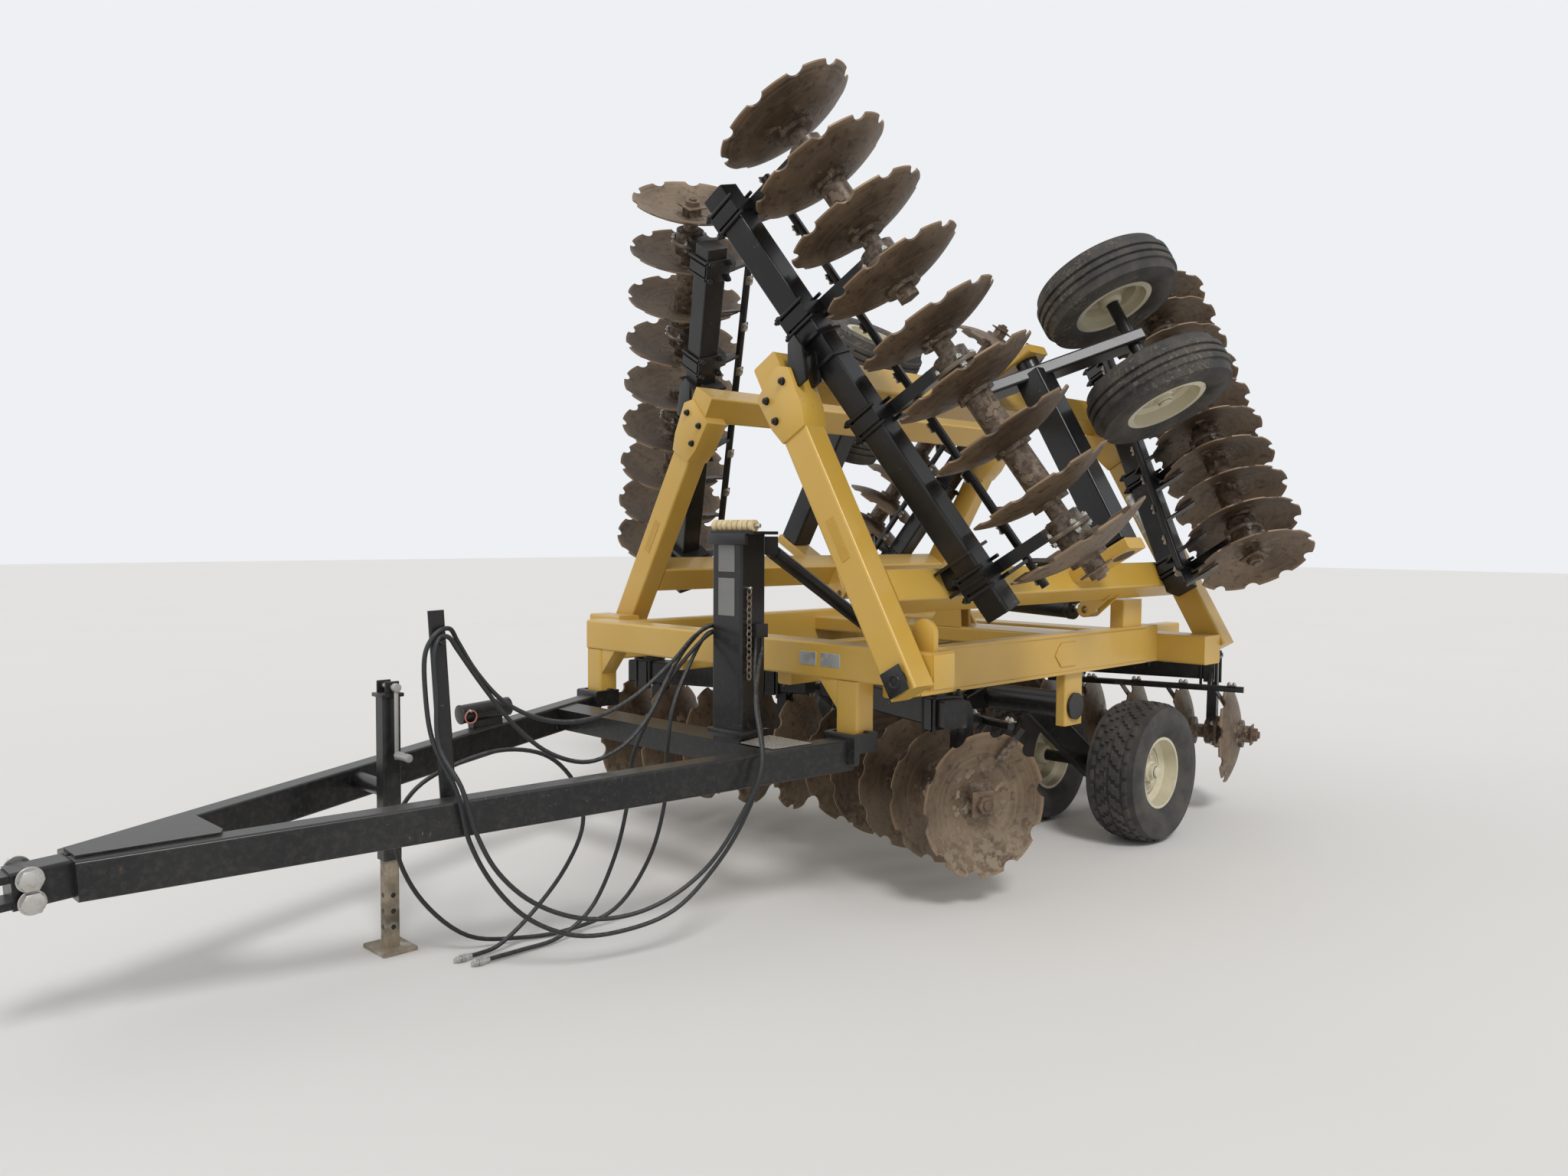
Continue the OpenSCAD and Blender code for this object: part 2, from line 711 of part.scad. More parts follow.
module rockshaft() {
    color("#1c1d1e") place() translate([0, rock_y, rock_z]) {
        rod_x(rock_r, -side_x + 4, side_x - 4);
        for (side = SIDES) translate([side * arm_x, 0, 0]) rotate([arm_angle, 0, 0]) {
            tube_y(0, arm_len + 60, arm_w, arm_h);
            translate([0, arm_len, 0])
                rod_x(axle_r, -(wheel_outer_x - arm_x) - hub_len / 2, wheel_outer_x - arm_x + hub_len / 2);
        }
        for (edge = [-1, 1])
            translate([mast_x + edge * (link_w / 2 + ear_gap + lug_t / 2), 0, 0])
                rotate([90, 0, 90]) linear_extrude(lug_t, center = true) {
                    polygon([[0, 65], [0, -65], [lever_y, lever_z - 36], [lever_y, lever_z + 36]]);
                    translate([lever_y, lever_z]) circle(36, $fn = 40);
                }
        translate([mast_x, lever_y, lever_z]) rod_x(link_pin_r, -link_w / 2 - 20, link_w / 2 + 20);
    }
}

module tyre(r, w, bead, $fn = 64) {
    side_r = r * 0.93;
    rotate([0, 90, 0]) rotate_extrude() {
        translate([bead, -w * 0.36]) square([side_r - bead - 20, w * 0.72]);
        translate([bead + 20, -w * 0.5]) square([side_r - bead - 60, w]);
        translate([side_r - 60, -w * 0.46]) square([40, w * 0.92]);
        translate([side_r - 21, -w * 0.42]) square([r - side_r + 15, w * 0.84]);
        translate([r - 7, -w * 0.34]) square([7, w * 0.68]);
    }
}

module rim(bead, w, len, $fn = 64) {
    rotate([0, 90, 0]) rotate_extrude() {
        translate([bead - 14, -w / 2]) square([14, w]);
        translate([hub_r - 10, -8]) square([bead - hub_r, 16]);
        translate([axle_r + pin_gap, -len / 2]) square([hub_r - axle_r - pin_gap, len]);
    }
}

module main_wheels(side) {
    place() for (x = [wheel_outer_x, wheel_inner_x]) translate([side * x, axle_y, tyre_r]) children();
}

module main_tyres(side) {
    color("#26262a") main_wheels(side) tyre(tyre_r, tyre_w, rim_r);
}

module main_rims(side) {
    color("#d8d2bc") main_wheels(side) rim(rim_r, rim_w, hub_len);
}

// Wings

module wing_cross_tubes(side) {
    color("#c99a45") on_wing(side) for (y = [0, wing_len - wing_tube_d]) difference() {
        translate([0, y + wing_tube_d / 2, 0])
            tube_x(-60, wing_outer_u - wing_tube_w / 2, wing_tube_d, wing_tube_w);
        rod_y(hinge_pin_r + pin_gap, y - 1, y + wing_tube_d + 1);
    }
}

wing_rock_v = 1600;
wing_rock_w = 340;
wing_axle_v = 2000;
wing_axle_w = hinge_z - wing_tyre_r;
wing_arm_u = 1440;
wing_wheel_gap = 310;
wing_rock_box = 150;
wing_journal_r = 58;
wing_rim_r = 190;
wing_rim_w = 190;
wing_hub_len = 150;

// Where a fold cylinder's eye lies, seen from the wing's hinge at rest, on the flat wing
lug_x = 1000;
lug_z = 1290;
lug_u = (hinge_x - lug_x) * -cos(wing_fold) + (lug_z - hinge_z) * sin(wing_fold);
lug_h = (hinge_x - lug_x) * sin(wing_fold) + (lug_z - hinge_z) * cos(wing_fold);
lug_r = 42;
rod_eye_w = 56;

module wing_rails(side) {
    color("#c99a45") on_wing(side) {
        half = wing_tube_w / 2;
        translate([wing_inner_u, 0, 0]) tube_y(wing_tube_d, wing_len - wing_tube_d, wing_tube_w, wing_tube_w);
        translate([wing_outer_u, 0, 0]) tube_y(0, wing_len, wing_tube_w, wing_tube_w);
        for (span = [[wing_inner_u - 30, wing_inner_u + 30], [wing_outer_u + 25, wing_outer_u + 75]])
            difference() {
                translate([(span[0] + span[1]) / 2, wing_rock_v, 0])
                    tube_z(-wing_rock_w - 85, -half + 1, span[1] - span[0], 170);
                translate([0, wing_rock_v, -wing_rock_w]) rod_x(wing_journal_r + pin_gap, 0, 2000);
            }
        for (edge = [-1, 1])
            translate([0, fold_at(side) - wing_y(side) + edge * (rod_eye_w / 2 + ear_gap + lug_t / 2), 0])
                rotate([90, 0, 0]) linear_extrude(lug_t, center = true) difference() {
                    union() {
                        polygon([[wing_inner_u - half, 0], [wing_inner_u + half - 10, half - 1],
                            [lug_u + 30, lug_h + 20], [lug_u - lug_r, lug_h]]);
                        translate([lug_u, lug_h]) circle(lug_r, $fn = 40);
                    }
                    translate([lug_u, lug_h]) circle(21, $fn = 40);
                    translate([wing_inner_u, 0]) square(2 * half, center = true);
                }
    }
}

module wing_rockshaft(side) {
    reach = norm([wing_axle_v - wing_rock_v, wing_axle_w - wing_rock_w]);
    angle = -atan2(wing_axle_w - wing_rock_w, wing_axle_v - wing_rock_v);
    color("#1c1d1e") on_wing(side) {
        translate([0, wing_rock_v, -wing_rock_w]) {
            tube_x(wing_inner_u + 40, wing_arm_u, wing_rock_box, wing_rock_box);
            rod_x(wing_journal_r, wing_inner_u - 30, wing_outer_u + 75);
        }
        translate([wing_arm_u, wing_rock_v, -wing_rock_w]) rotate([angle, 0, 0]) {
            tube_y(-260, reach + 50, 70, 120);
            translate([0, reach, 0])
                rod_x(axle_r, -wing_wheel_gap - wing_hub_len / 2, wing_wheel_gap + wing_hub_len / 2);
        }
    }
}

module wing_wheels(side) {
    on_wing(side) for (x = [-1, 1])
        translate([wing_arm_u + x * wing_wheel_gap, wing_axle_v, -wing_axle_w]) children();
}

module wing_tyres(side) {
    color("#26262a") wing_wheels(side) tyre(wing_tyre_r, wing_tyre_w, wing_rim_r);
}

module wing_rims(side) {
    color("#d8d2bc") wing_wheels(side) rim(wing_rim_r, wing_rim_w, wing_hub_len);
}

// Fold cylinders, across the frame to a lug on each wing's inner rail

fold_y = 1900;
fold_apart = 220;
anchor_x = 110;
anchor_z = 1330;
barrel_r = 62;
rod_r = 28;
barrel_len = 800;
anchor_eye_w = 60;
anchor_pin_r = 24;

function fold_at(side) = fold_y + (side > 0 ? 0 : fold_apart);

module on_cylinder(side) {
    place() translate([side * anchor_x, fold_at(side), anchor_z]) rotate([0, 0, side > 0 ? 0 : 180])
        rotate([0, -atan2(lug_z - anchor_z, lug_x - anchor_x), 0]) children();
}

module fold_barrel(side) {
    color("#1c1d1e") on_cylinder(side) difference() {
        union() {
            rod_x(barrel_r, 60, barrel_len);
            rod_y(45, -anchor_eye_w / 2, anchor_eye_w / 2);
            tube_x(0, 70, anchor_eye_w, 70);
        }
        rod_x(rod_r + pin_gap, 75, barrel_len + 1);
        rod_y(anchor_pin_r + pin_gap, -100, 100);
    }
}

module fold_rod(side) {
    reach = norm([lug_x - anchor_x, lug_z - anchor_z]);
    color("#c9c9c9") on_cylinder(side) difference() {
        union() {
            rod_x(rod_r, 90, reach);
            translate([reach, 0, 0]) rod_y(lug_r, -rod_eye_w / 2, rod_eye_w / 2);
        }
        translate([reach, 0, 0]) rod_y(21, -100, 100);
    }
}

anchor_beam_h = 90;
anchor_beam_z = base_z + inner_rail_h;
anchor_plate = 20;

module fold_anchor() {
    mid = fold_y + fold_apart / 2;
    half = fold_apart / 2 + anchor_eye_w / 2 + ear_gap + anchor_plate;
    color("#c99a45") place() {
        translate([0, mid, anchor_beam_z + anchor_beam_h / 2])
            tube_x(-side_x + side_w, side_x - side_w, 2 * half, anchor_beam_h);
        for (side = SIDES) {
            for (edge = [-1, 1])
                translate([0, fold_at(side) + edge * (anchor_eye_w / 2 + ear_gap + anchor_plate / 2), 0])
                    rotate([90, 0, 0]) linear_extrude(anchor_plate, center = true) {
                        translate([side * anchor_x, anchor_z]) circle(50, $fn = 40);
                        polygon([[-side * 60, anchor_beam_z + anchor_beam_h - 1],
                            [side * (anchor_x + 60), anchor_beam_z + anchor_beam_h - 1],
                            [side * (anchor_x + 50), anchor_z], [side * (anchor_x - 50), anchor_z]]);
                    }
            translate([side * anchor_x, fold_at(side), anchor_z])
                rod_y(anchor_pin_r, -anchor_eye_w / 2 - 30, anchor_eye_w / 2 + 30);
        }
    }
}

// Hoses

hose_r = 9;
coupler_r = 15;
coupler_len = 75;
// Columns: place along X, behind the legs, height, from the mast's clip over the post to the other clip
UPPER_HOSE = [
    [424, -290.3, 1282], [424, -306, 1282], [424, -345, 1280], [450, -460, 1240], [520, -640, 1150], [500, -820, 1020],
    [470, -1010, 945], [440, -1190, 950], [400, -1360, 1030], [382, -1480, 1160], [374, -1556, 1284],
    [398, -1600, 1334], [406, -1640, 1333], [404, -1672, 1307], [398, -1699, 1250], [400, -1702, 1110], [430, -1690, 930],
    [510, -1640, 750], [530, -1600, 560], [550, -1510, 380], [590, -1390, 240], [650, -1220, 150],
    [710, -1020, 140], [770, -830, 190], [820, -660, 340], [862, -540, 520], [898, -470, 740],
    [790, -400, 985], [672, -300, 1130], [648, -275, 1190], [648, -275, 1239.7]];
LOWER_HOSE = [
    [400, -290.3, 1282], [400, -306, 1282], [400, -345, 1276], [420, -480, 1190], [500, -660, 1060], [515, -760, 930],
    [500, -880, 820], [470, -1030, 770], [440, -1190, 820], [410, -1330, 940], [392, -1462, 1110],
    [398, -1572, 1258], [402, -1607, 1303], [404, -1640, 1308], [408, -1656, 1291], [414, -1673, 1236],
    [430, -1674, 1110],
    [460, -1680, 910], [545, -1640, 770], [565, -1590, 590], [585, -1515, 440], [622, -1390, 310],
    [672, -1210, 220], [732, -1030, 205], [782, -860, 250], [832, -700, 360], [884, -580, 540],
    [925, -500, 740], [810, -425, 985], [690, -290, 1140], [652, -240, 1190], [652, -240, 1239.7]];
// From the mast's clip to a coupler on the ground
SHORT_HOSE = [
    [424, -290.3, 1254], [424, -306, 1254], [424, -350, 1244], [450, -560, 1100], [475, -720, 930], [450, -790, 760],
    [400, -780, 560], [360, -820, 320], [335, -930, 110], [322, -1080, 24], [320, -1250, 16],
    [320, -1360, 16], [320, -1400, 16]];
LOOPED_HOSE = [
    [400, -290.3, 1254], [400, -306, 1254], [400, -350, 1236], [420, -480, 1080], [440, -570, 930], [440, -600, 760],
    [410, -590, 520], [370, -650, 270], [320, -790, 80], [255, -980, 18], [200, -1190, 20],
    [165, -1400, 70], [150, -1590, 250], [150, -1690, 450], [160, -1700, 590], [190, -1630, 710],
    [220, -1480, 785], [250, -1270, 820], [280, -1090, 770], [300, -970, 630], [300, -940, 470],
    [290, -1020, 300], [268, -1190, 120], [246, -1320, 28], [238, -1390, 16], [238, -1430, 16]];
HOSES = [UPPER_HOSE, LOWER_HOSE, SHORT_HOSE, LOOPED_HOSE];

function unit(v) = v / norm(v);
function heading(path, i) = unit(path[min(i + 1, len(path) - 1)] - path[max(i - 1, 0)]);
function across(path, i) = i == 0
    ? unit(cross(heading(path, 0), [0.3, 0.2, 1]))
    : let (t = heading(path, i), n = across(path, i - 1)) unit(n - t * (n * t));

module hose(path, r, sides = 8) {
    points = [for (i = [0 : len(path) - 1])
        let (t = heading(path, i), n = across(path, i), b = cross(t, n))
        for (j = [0 : sides - 1]) path[i] + r * (cos(360 * j / sides) * n + sin(360 * j / sides) * b)];
    last = (len(path) - 1) * sides;
    faces = concat(
        [[for (j = [0 : sides - 1]) j]],
        [[for (j = [sides - 1 : -1 : 0]) last + j]],
        [for (i = [0 : len(path) - 2], j = [0 : sides - 1], half = [0, 1])
            let (a = i * sides + j, b = i * sides + (j + 1) % sides)
            half == 0 ? [a, b + sides, b] : [a, a + sides, b + sides]]);
    polyhedron(points, faces);
}

module hoses(i) {
    color("#1a1a1a") place() hose(HOSES[i], hose_r);
}

module couplers() {
    color("#b5b5b5") place() for (path = [SHORT_HOSE, LOOPED_HOSE])
        translate(path[len(path) - 1] + [0, -0.3, 0]) rod_y(coupler_r, -coupler_len, 0);
}

front_beam();
front_legs();
side_beams();
rear_beam();
inner_rails();
fold_anchor();
front_gang_frames();
rear_gang_frames();
tongue_beams();
tongue_crossbar();
hitch_clevis();
mast();
tongue_fittings();
jack_tube();
jack_leg();
level_link();
rockshaft();
hoses(0);  // hose_upper
hoses(1);  // hose_lower
hoses(2);  // hose_short
hoses(3);  // hose_looped
couplers();  // hose_couplers
for (side = SIDES) {
    main_tyres(side);
    main_rims(side);
    wing_cross_tubes(side);
    wing_rails(side);
    wing_gang_frames(side);
    wing_rockshaft(side);
    wing_tyres(side);
    wing_rims(side);
    fold_barrel(side);
    fold_rod(side);
    centre_discs_of(side, true);
    centre_discs_of(side, false);
    wing_front_discs_of(side, 0, split - 1);
    wing_front_discs_of(side, split, wing_front_discs - 1);
    wing_rear_discs_of(side);
}
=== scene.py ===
"""Folded disc harrow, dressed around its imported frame.

Lengths are in metres, and the numbers that at() takes are in millimetres. +X is the
machine's left, +Y its rear, +Z up.
"""

import json
import logging
import math
from dataclasses import dataclass
from enum import Enum
from typing import Callable, Iterable, Optional, Sequence, Union

import bpy
from mathutils import Matrix, Vector

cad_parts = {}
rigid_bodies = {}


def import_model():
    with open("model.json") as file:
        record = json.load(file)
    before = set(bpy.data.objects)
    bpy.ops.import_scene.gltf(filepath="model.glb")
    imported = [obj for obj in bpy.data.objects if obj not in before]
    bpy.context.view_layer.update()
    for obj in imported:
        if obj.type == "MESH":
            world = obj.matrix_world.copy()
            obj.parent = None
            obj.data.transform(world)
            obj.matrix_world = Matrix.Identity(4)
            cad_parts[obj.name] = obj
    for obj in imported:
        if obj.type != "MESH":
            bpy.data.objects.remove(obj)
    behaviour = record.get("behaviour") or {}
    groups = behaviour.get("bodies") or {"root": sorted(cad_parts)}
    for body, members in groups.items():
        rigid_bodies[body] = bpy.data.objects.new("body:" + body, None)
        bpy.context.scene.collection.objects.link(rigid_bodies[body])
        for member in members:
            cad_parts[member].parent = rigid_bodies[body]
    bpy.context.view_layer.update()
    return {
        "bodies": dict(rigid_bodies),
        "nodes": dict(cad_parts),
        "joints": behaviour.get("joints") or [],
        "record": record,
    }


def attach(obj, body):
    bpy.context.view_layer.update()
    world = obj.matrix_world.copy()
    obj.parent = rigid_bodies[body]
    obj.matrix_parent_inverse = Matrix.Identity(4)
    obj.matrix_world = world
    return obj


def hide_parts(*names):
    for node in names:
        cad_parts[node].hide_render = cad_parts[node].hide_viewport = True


LOG = logging.getLogger("harrow")
MIDDLE = 0.3386
Point = Sequence[float]
Triple = tuple[float, float, float]
Piece = bpy.types.Object
Finish = bpy.types.Material


def at(x: float, y: float, z: float) -> Vector:
    """Returns the place whose numbers, in millimetres, are counted from the front legs."""
    return Vector((x / 1000, y / 1000 - MIDDLE, z / 1000))


class Side(Enum):
    """The machine's two sides, with the sign of X on each."""

    LEFT = 1
    RIGHT = -1

    @property
    def word(self) -> str:
        """The side's name in the frame's node names."""
        return self.name.lower()


@dataclass(frozen=True)
class Frame:
    """A place and three directions that pieces are built in."""

    origin: Vector
    x: Vector
    y: Vector
    z: Vector

    def matrix(self) -> Matrix:
        """Returns the matrix from this frame to the machine's."""
        turn = Matrix((self.x, self.y, self.z)).transposed().to_4x4()
        return Matrix.Translation(self.origin) @ turn

    def point(self, x: float, y: float, z: float) -> Vector:
        """Returns the machine's place of a point given in this frame."""
        return self.origin + self.x * x + self.y * y + self.z * z

    def shifted(self, x: float, y: float, z: float) -> "Frame":
        """Returns this frame moved along its own directions."""
        return Frame(self.point(x, y, z), self.x, self.y, self.z)

    def flipped(self, x: int = 1, y: int = 1) -> "Frame":
        """Returns this frame with X or Y turned round where -1 is given for it."""
        return Frame(self.origin, self.x * x, self.y * y, self.z)


def upright(origin: Vector) -> Frame:
    """Returns the machine's own directions at a place."""
    return Frame(origin, Vector((1, 0, 0)), Vector((0, 1, 0)), Vector((0, 0, 1)))


UPRIGHT = upright(Vector((0, 0, 0)))


@dataclass(frozen=True)
class Layout:
    """Where the wings, gangs and tongue lie, as the frame has them.

    The fronts of the wings and the tongue, and the stagger, are in millimetres.
    """

    hinge_x: float = 1.330
    hinge_z: float = 1.100
    fold: float = math.radians(120)
    wing_front: float = -133.0
    stagger: float = 590.0
    gang_drop: float = 0.404
    front_angle: float = math.radians(18)
    rear_angle: float = math.radians(16)
    tongue_tilt: float = math.atan2(0.185, 2.889)
    tongue_front: Triple = (0, -2767, 629)
    front_beam: Triple = (0.645, 0.640, 0.882)
    rear_beam: Triple = (0.750, 3.020, 0.882)
    wing_front_beam: Triple = (1.240, 0.245, -0.218)
    wing_rear_beam: Triple = (1.202, 2.731, -0.1385)

    def wing(self, side: Side) -> Frame:
        """Returns a folded wing's frame: X outward when flat, Y back, Z up when flat.

        Args:
            side: the machine's side that the wing is on.

        Returns:
            The frame at the wing's hinge, at its front tube's face.
        """
        s = side.value
        start = at(0, self.wing_front + (0 if s > 0 else self.stagger), 0)
        u = Vector((s * math.cos(self.fold), 0, math.sin(self.fold)))
        n = Vector((-s * math.sin(self.fold), 0, math.cos(self.fold)))
        return Frame(Vector((s * self.hinge_x, start.y, self.hinge_z)), u, Vector((0, 1, 0)), n)

    def gang(self, side: Side, front: bool, wing: bool) -> Frame:
        """Returns the frame of a gang's beam: X outward along it, Y back, Z up.

        Args:
            side: the machine's side.
            front: whether it is a front gang.
            wing: whether it hangs on a wing.

        Returns:
            The frame at the middle of the gang's beam.
        """
        angle = -self.front_angle if front else self.rear_angle
        if wing:
            base = self.wing(side)
            spot = self.wing_front_beam if front else self.wing_rear_beam
        else:
            base = upright(at(0, 0, 0)).flipped(side.value)
            spot = self.front_beam if front else self.rear_beam
        x = base.x * math.cos(angle) + base.y * math.sin(angle)
        y = base.y * math.cos(angle) - base.x * math.sin(angle)
        return Frame(base.point(*spot), x, y, base.z)

    def tongue(self) -> Frame:
        """Returns the frame of the tongue's sloping upper face, from its front end."""
        c, s = math.cos(self.tongue_tilt), math.sin(self.tongue_tilt)
        return Frame(at(*self.tongue_front), Vector((1, 0, 0)), Vector((0, c, s)), Vector((0, -s, c)))


LAYOUT = Layout()


@dataclass(frozen=True)
class Gang:
    """One gang of discs: how many, how far apart, how large, and where its shaft lies."""

    name: str
    side: Side
    front: bool
    wing: bool
    count: int
    pitch: float
    radius: float
    back: float
    bearings: tuple[int, ...]

    @property
    def beam(self) -> Frame:
        """The frame of the gang's beam."""
        return LAYOUT.gang(self.side, self.front, self.wing)

    @property
    def shaft(self) -> Frame:
        """The frame of the gang's shaft."""
        return self.beam.shifted(0, self.back, -LAYOUT.gang_drop)

    @property
    def body(self) -> str:
        """The body that carries the gang's beam and bearings."""
        return f"wing_{self.side.word}" if self.wing else "frame"

    @property
    def dish(self) -> int:
        """The side that the discs are dished to: outward in front, inward at the rear."""
        return 1 if self.front else -1

    def disc_x(self, i: int) -> float:
        """Returns where disc i sits along the shaft."""
        return (i - (self.count - 1) / 2) * self.pitch


def gangs() -> list[Gang]:
    """Returns the eight gangs. A wing's front gang has its shaft in two parts."""
    found = []
    for side in Side:
        found.append(Gang("centre_front", side, True, False, 5, 0.2794, 0.330, 0.110, (0, 3)))
        found.append(Gang("centre_rear", side, False, False, 5, 0.2794, 0.305, 0.090, (0, 3)))
        found.append(Gang("wing_front", side, True, True, 9, 0.2794, 0.330, 0.142, (0, 3, 5, 7)))
        found.append(Gang("wing_rear", side, False, True, 10, 0.2032, 0.305, 0.090, (0, 3, 7)))
    return found


# Shader maths

Value = Union["Socket", float, Sequence[float]]


class Socket:
    """A node's output, with arithmetic that adds the nodes for it."""

    def __init__(self, graph: "Graph", output: Optional[bpy.types.NodeSocket]) -> None:
        """Keeps the output and the graph it is in."""
        self.graph = graph
        self.output = output

    @property
    def wide(self) -> bool:
        """Whether the output carries a vector or a colour."""
        return self.output.type in ("VECTOR", "RGBA")

    def _maths(self, word: str, *values: Value) -> "Socket":
        """Adds one Math or Vector Math node.

        Args:
            word: the node's operation.
            values: its inputs in order.

        Returns:
            The node's result.
        """
        wide = any(isinstance(v, Socket) and v.wide for v in values)
        kind = "ShaderNodeVectorMath" if wide else "ShaderNodeMath"
        return self.graph.node(kind, {"operation": word}, dict(enumerate(values)))

    def _vector(self, word: str, inputs: dict, output: Union[int, str] = 0) -> "Socket":
        """Adds one Vector Math node and returns its result."""
        return self.graph.node("ShaderNodeVectorMath", {"operation": word}, inputs, output)

    def __add__(self, other: Value) -> "Socket":
        """Adds."""
        return self._maths("ADD", self, other)

    __radd__ = __add__

    def __sub__(self, other: Value) -> "Socket":
        """Subtracts."""
        return self._maths("SUBTRACT", self, other)

    def __rsub__(self, other: Value) -> "Socket":
        """Subtracts this from a number."""
        return self._maths("SUBTRACT", other, self)

    def __mul__(self, other: Value) -> "Socket":
        """Multiplies; a vector times a number is scaled."""
        if self.wide and not isinstance(other, (tuple, list)):
            if not (isinstance(other, Socket) and other.wide):
                return self._vector("SCALE", {0: self, "Scale": other})
        return self._maths("MULTIPLY", self, other)

    def __pow__(self, other: Value) -> "Socket":
        """Raises to a power."""
        return self._maths("POWER", self, other)

    def low(self, other: Value) -> "Socket":
        """Returns the lesser of two values."""
        return self._maths("MINIMUM", self, other)

    def high(self, other: Value) -> "Socket":
        """Returns the greater of two values."""
        return self._maths("MAXIMUM", self, other)

    def fraction(self) -> "Socket":
        """Returns what is left after the whole number."""
        return self._maths("FRACT", self)

    def dot(self, other: Value) -> "Socket":
        """Returns the dot product with a vector."""
        return self._vector("DOT_PRODUCT", {0: self, 1: other}, "Value")

    def part(self, axis: str) -> "Socket":
        """Returns a vector's X, Y or Z."""
        return self.graph.node("ShaderNodeSeparateXYZ", {}, {0: self}, axis)

    def ramp(self, low: float, high: float) -> "Socket":
        """Returns 0 below low, 1 above high and a smooth rise between."""
        return self.graph.node(
            "ShaderNodeMapRange",
            {"interpolation_type": "SMOOTHSTEP"},
            {"Value": self, "From Min": low, "From Max": high},
        )


class Graph:
    """A material's nodes."""

    def __init__(self, name: str, world: bool = False) -> None:
        """Makes a material, or a world, with an empty node tree."""
        self.material = bpy.data.worlds.new(name) if world else bpy.data.materials.new(name)
        self.material.use_nodes = True
        self.tree = self.material.node_tree
        self.tree.nodes.clear()

    def node(self, kind: str, settings: dict, inputs: dict, output: Union[int, str] = 0) -> Socket:
        """Adds a node.

        Args:
            kind: the node's type.
            settings: its own settings.
            inputs: the values or links of its sockets, by name or number.
            output: which of its outputs is wanted.

        Returns:
            That output.
        """
        made = self.tree.nodes.new(kind)
        for name, value in settings.items():
            setattr(made, name, value)
        for name, value in inputs.items():
            socket = made.inputs[name]
            if isinstance(value, Socket):
                self.tree.links.new(value.output, socket)
            else:
                socket.default_value = self._fitted(socket, value)
        return Socket(self, made.outputs[output] if len(made.outputs) else None)

    @staticmethod
    def _fitted(socket: bpy.types.NodeSocket, value: Value) -> Value:
        """Returns a value in the form that its socket takes."""
        if socket.type == "RGBA" and len(value) == 3:
            return (*value, 1.0)
        if socket.type == "VECTOR" and isinstance(value, (int, float)):
            return (value, value, value)
        return value

    def places(self) -> Socket:
        """Returns the Object coordinates."""
        return self.node("ShaderNodeTexCoord", {}, {}, "Object")

    def facing(self) -> Socket:
        """Returns how far the surface faces up, from -1 to 1."""
        return self.node("ShaderNodeNewGeometry", {}, {}, "Normal").part("Z")

    def noise(self, where: Socket, scale: float, detail: float = 4.0, rough: float = 0.55) -> Socket:
        """Returns a noise between 0 and 1 at a scale."""
        return self.node(
            "ShaderNodeTexNoise", {}, {"Vector": where, "Scale": scale, "Detail": detail, "Roughness": rough}
        )

    def blend(self, amount: Value, a: Value, b: Value) -> Socket:
        """Returns colour a turning to b as amount goes from 0 to 1.

        Args:
            amount: how far the colour has turned.
            a: the colour at 0.
            b: the colour at 1.

        Returns:
            The colour.
        """
        made = self.tree.nodes.new("ShaderNodeMix")
        made.data_type = "RGBA"
        for socket, value in ((made.inputs[0], amount), (made.inputs[6], a), (made.inputs[7], b)):
            if isinstance(value, Socket):
                self.tree.links.new(value.output, socket)
            else:
                socket.default_value = self._fitted(socket, value)
        return Socket(self, made.outputs[2])

    def away(self, where: Socket, line: Frame) -> Socket:
        """Returns the distance from the line through a frame along its X.

        Args:
            where: the place on the surface.
            line: the frame whose origin and X give the line.

        Returns:
            The distance in metres.
        """
        off = where - tuple(line.origin)
        along = off.dot(tuple(line.x))
        return (off.dot(off) - along * along).high(0.0) ** 0.5

    def finish(
        self, colour: Value, rough: Value, metal: Value, bump: Optional[Socket], **fixed: float
    ) -> None:
        """Adds the surface shader.

        Args:
            colour: its base colour.
            rough: its roughness.
            metal: how metallic it is.
            bump: the height of the surface, in metres, or None.
            fixed: further sockets of the shader, the same all over.
        """
        inputs = {"Base Color": colour, "Roughness": rough, "Metallic": metal}
        if bump is not None:
            relief = {"Strength": 1.0, "Distance": 1.0, "Height": bump}
            inputs["Normal"] = self.node("ShaderNodeBump", {}, relief)
        inputs.update({name.replace("_", " "): value for name, value in fixed.items()})
        shader = self.node("ShaderNodeBsdfPrincipled", {}, inputs)
        self.node("ShaderNodeOutputMaterial", {}, {"Surface": shader})


# Finishes


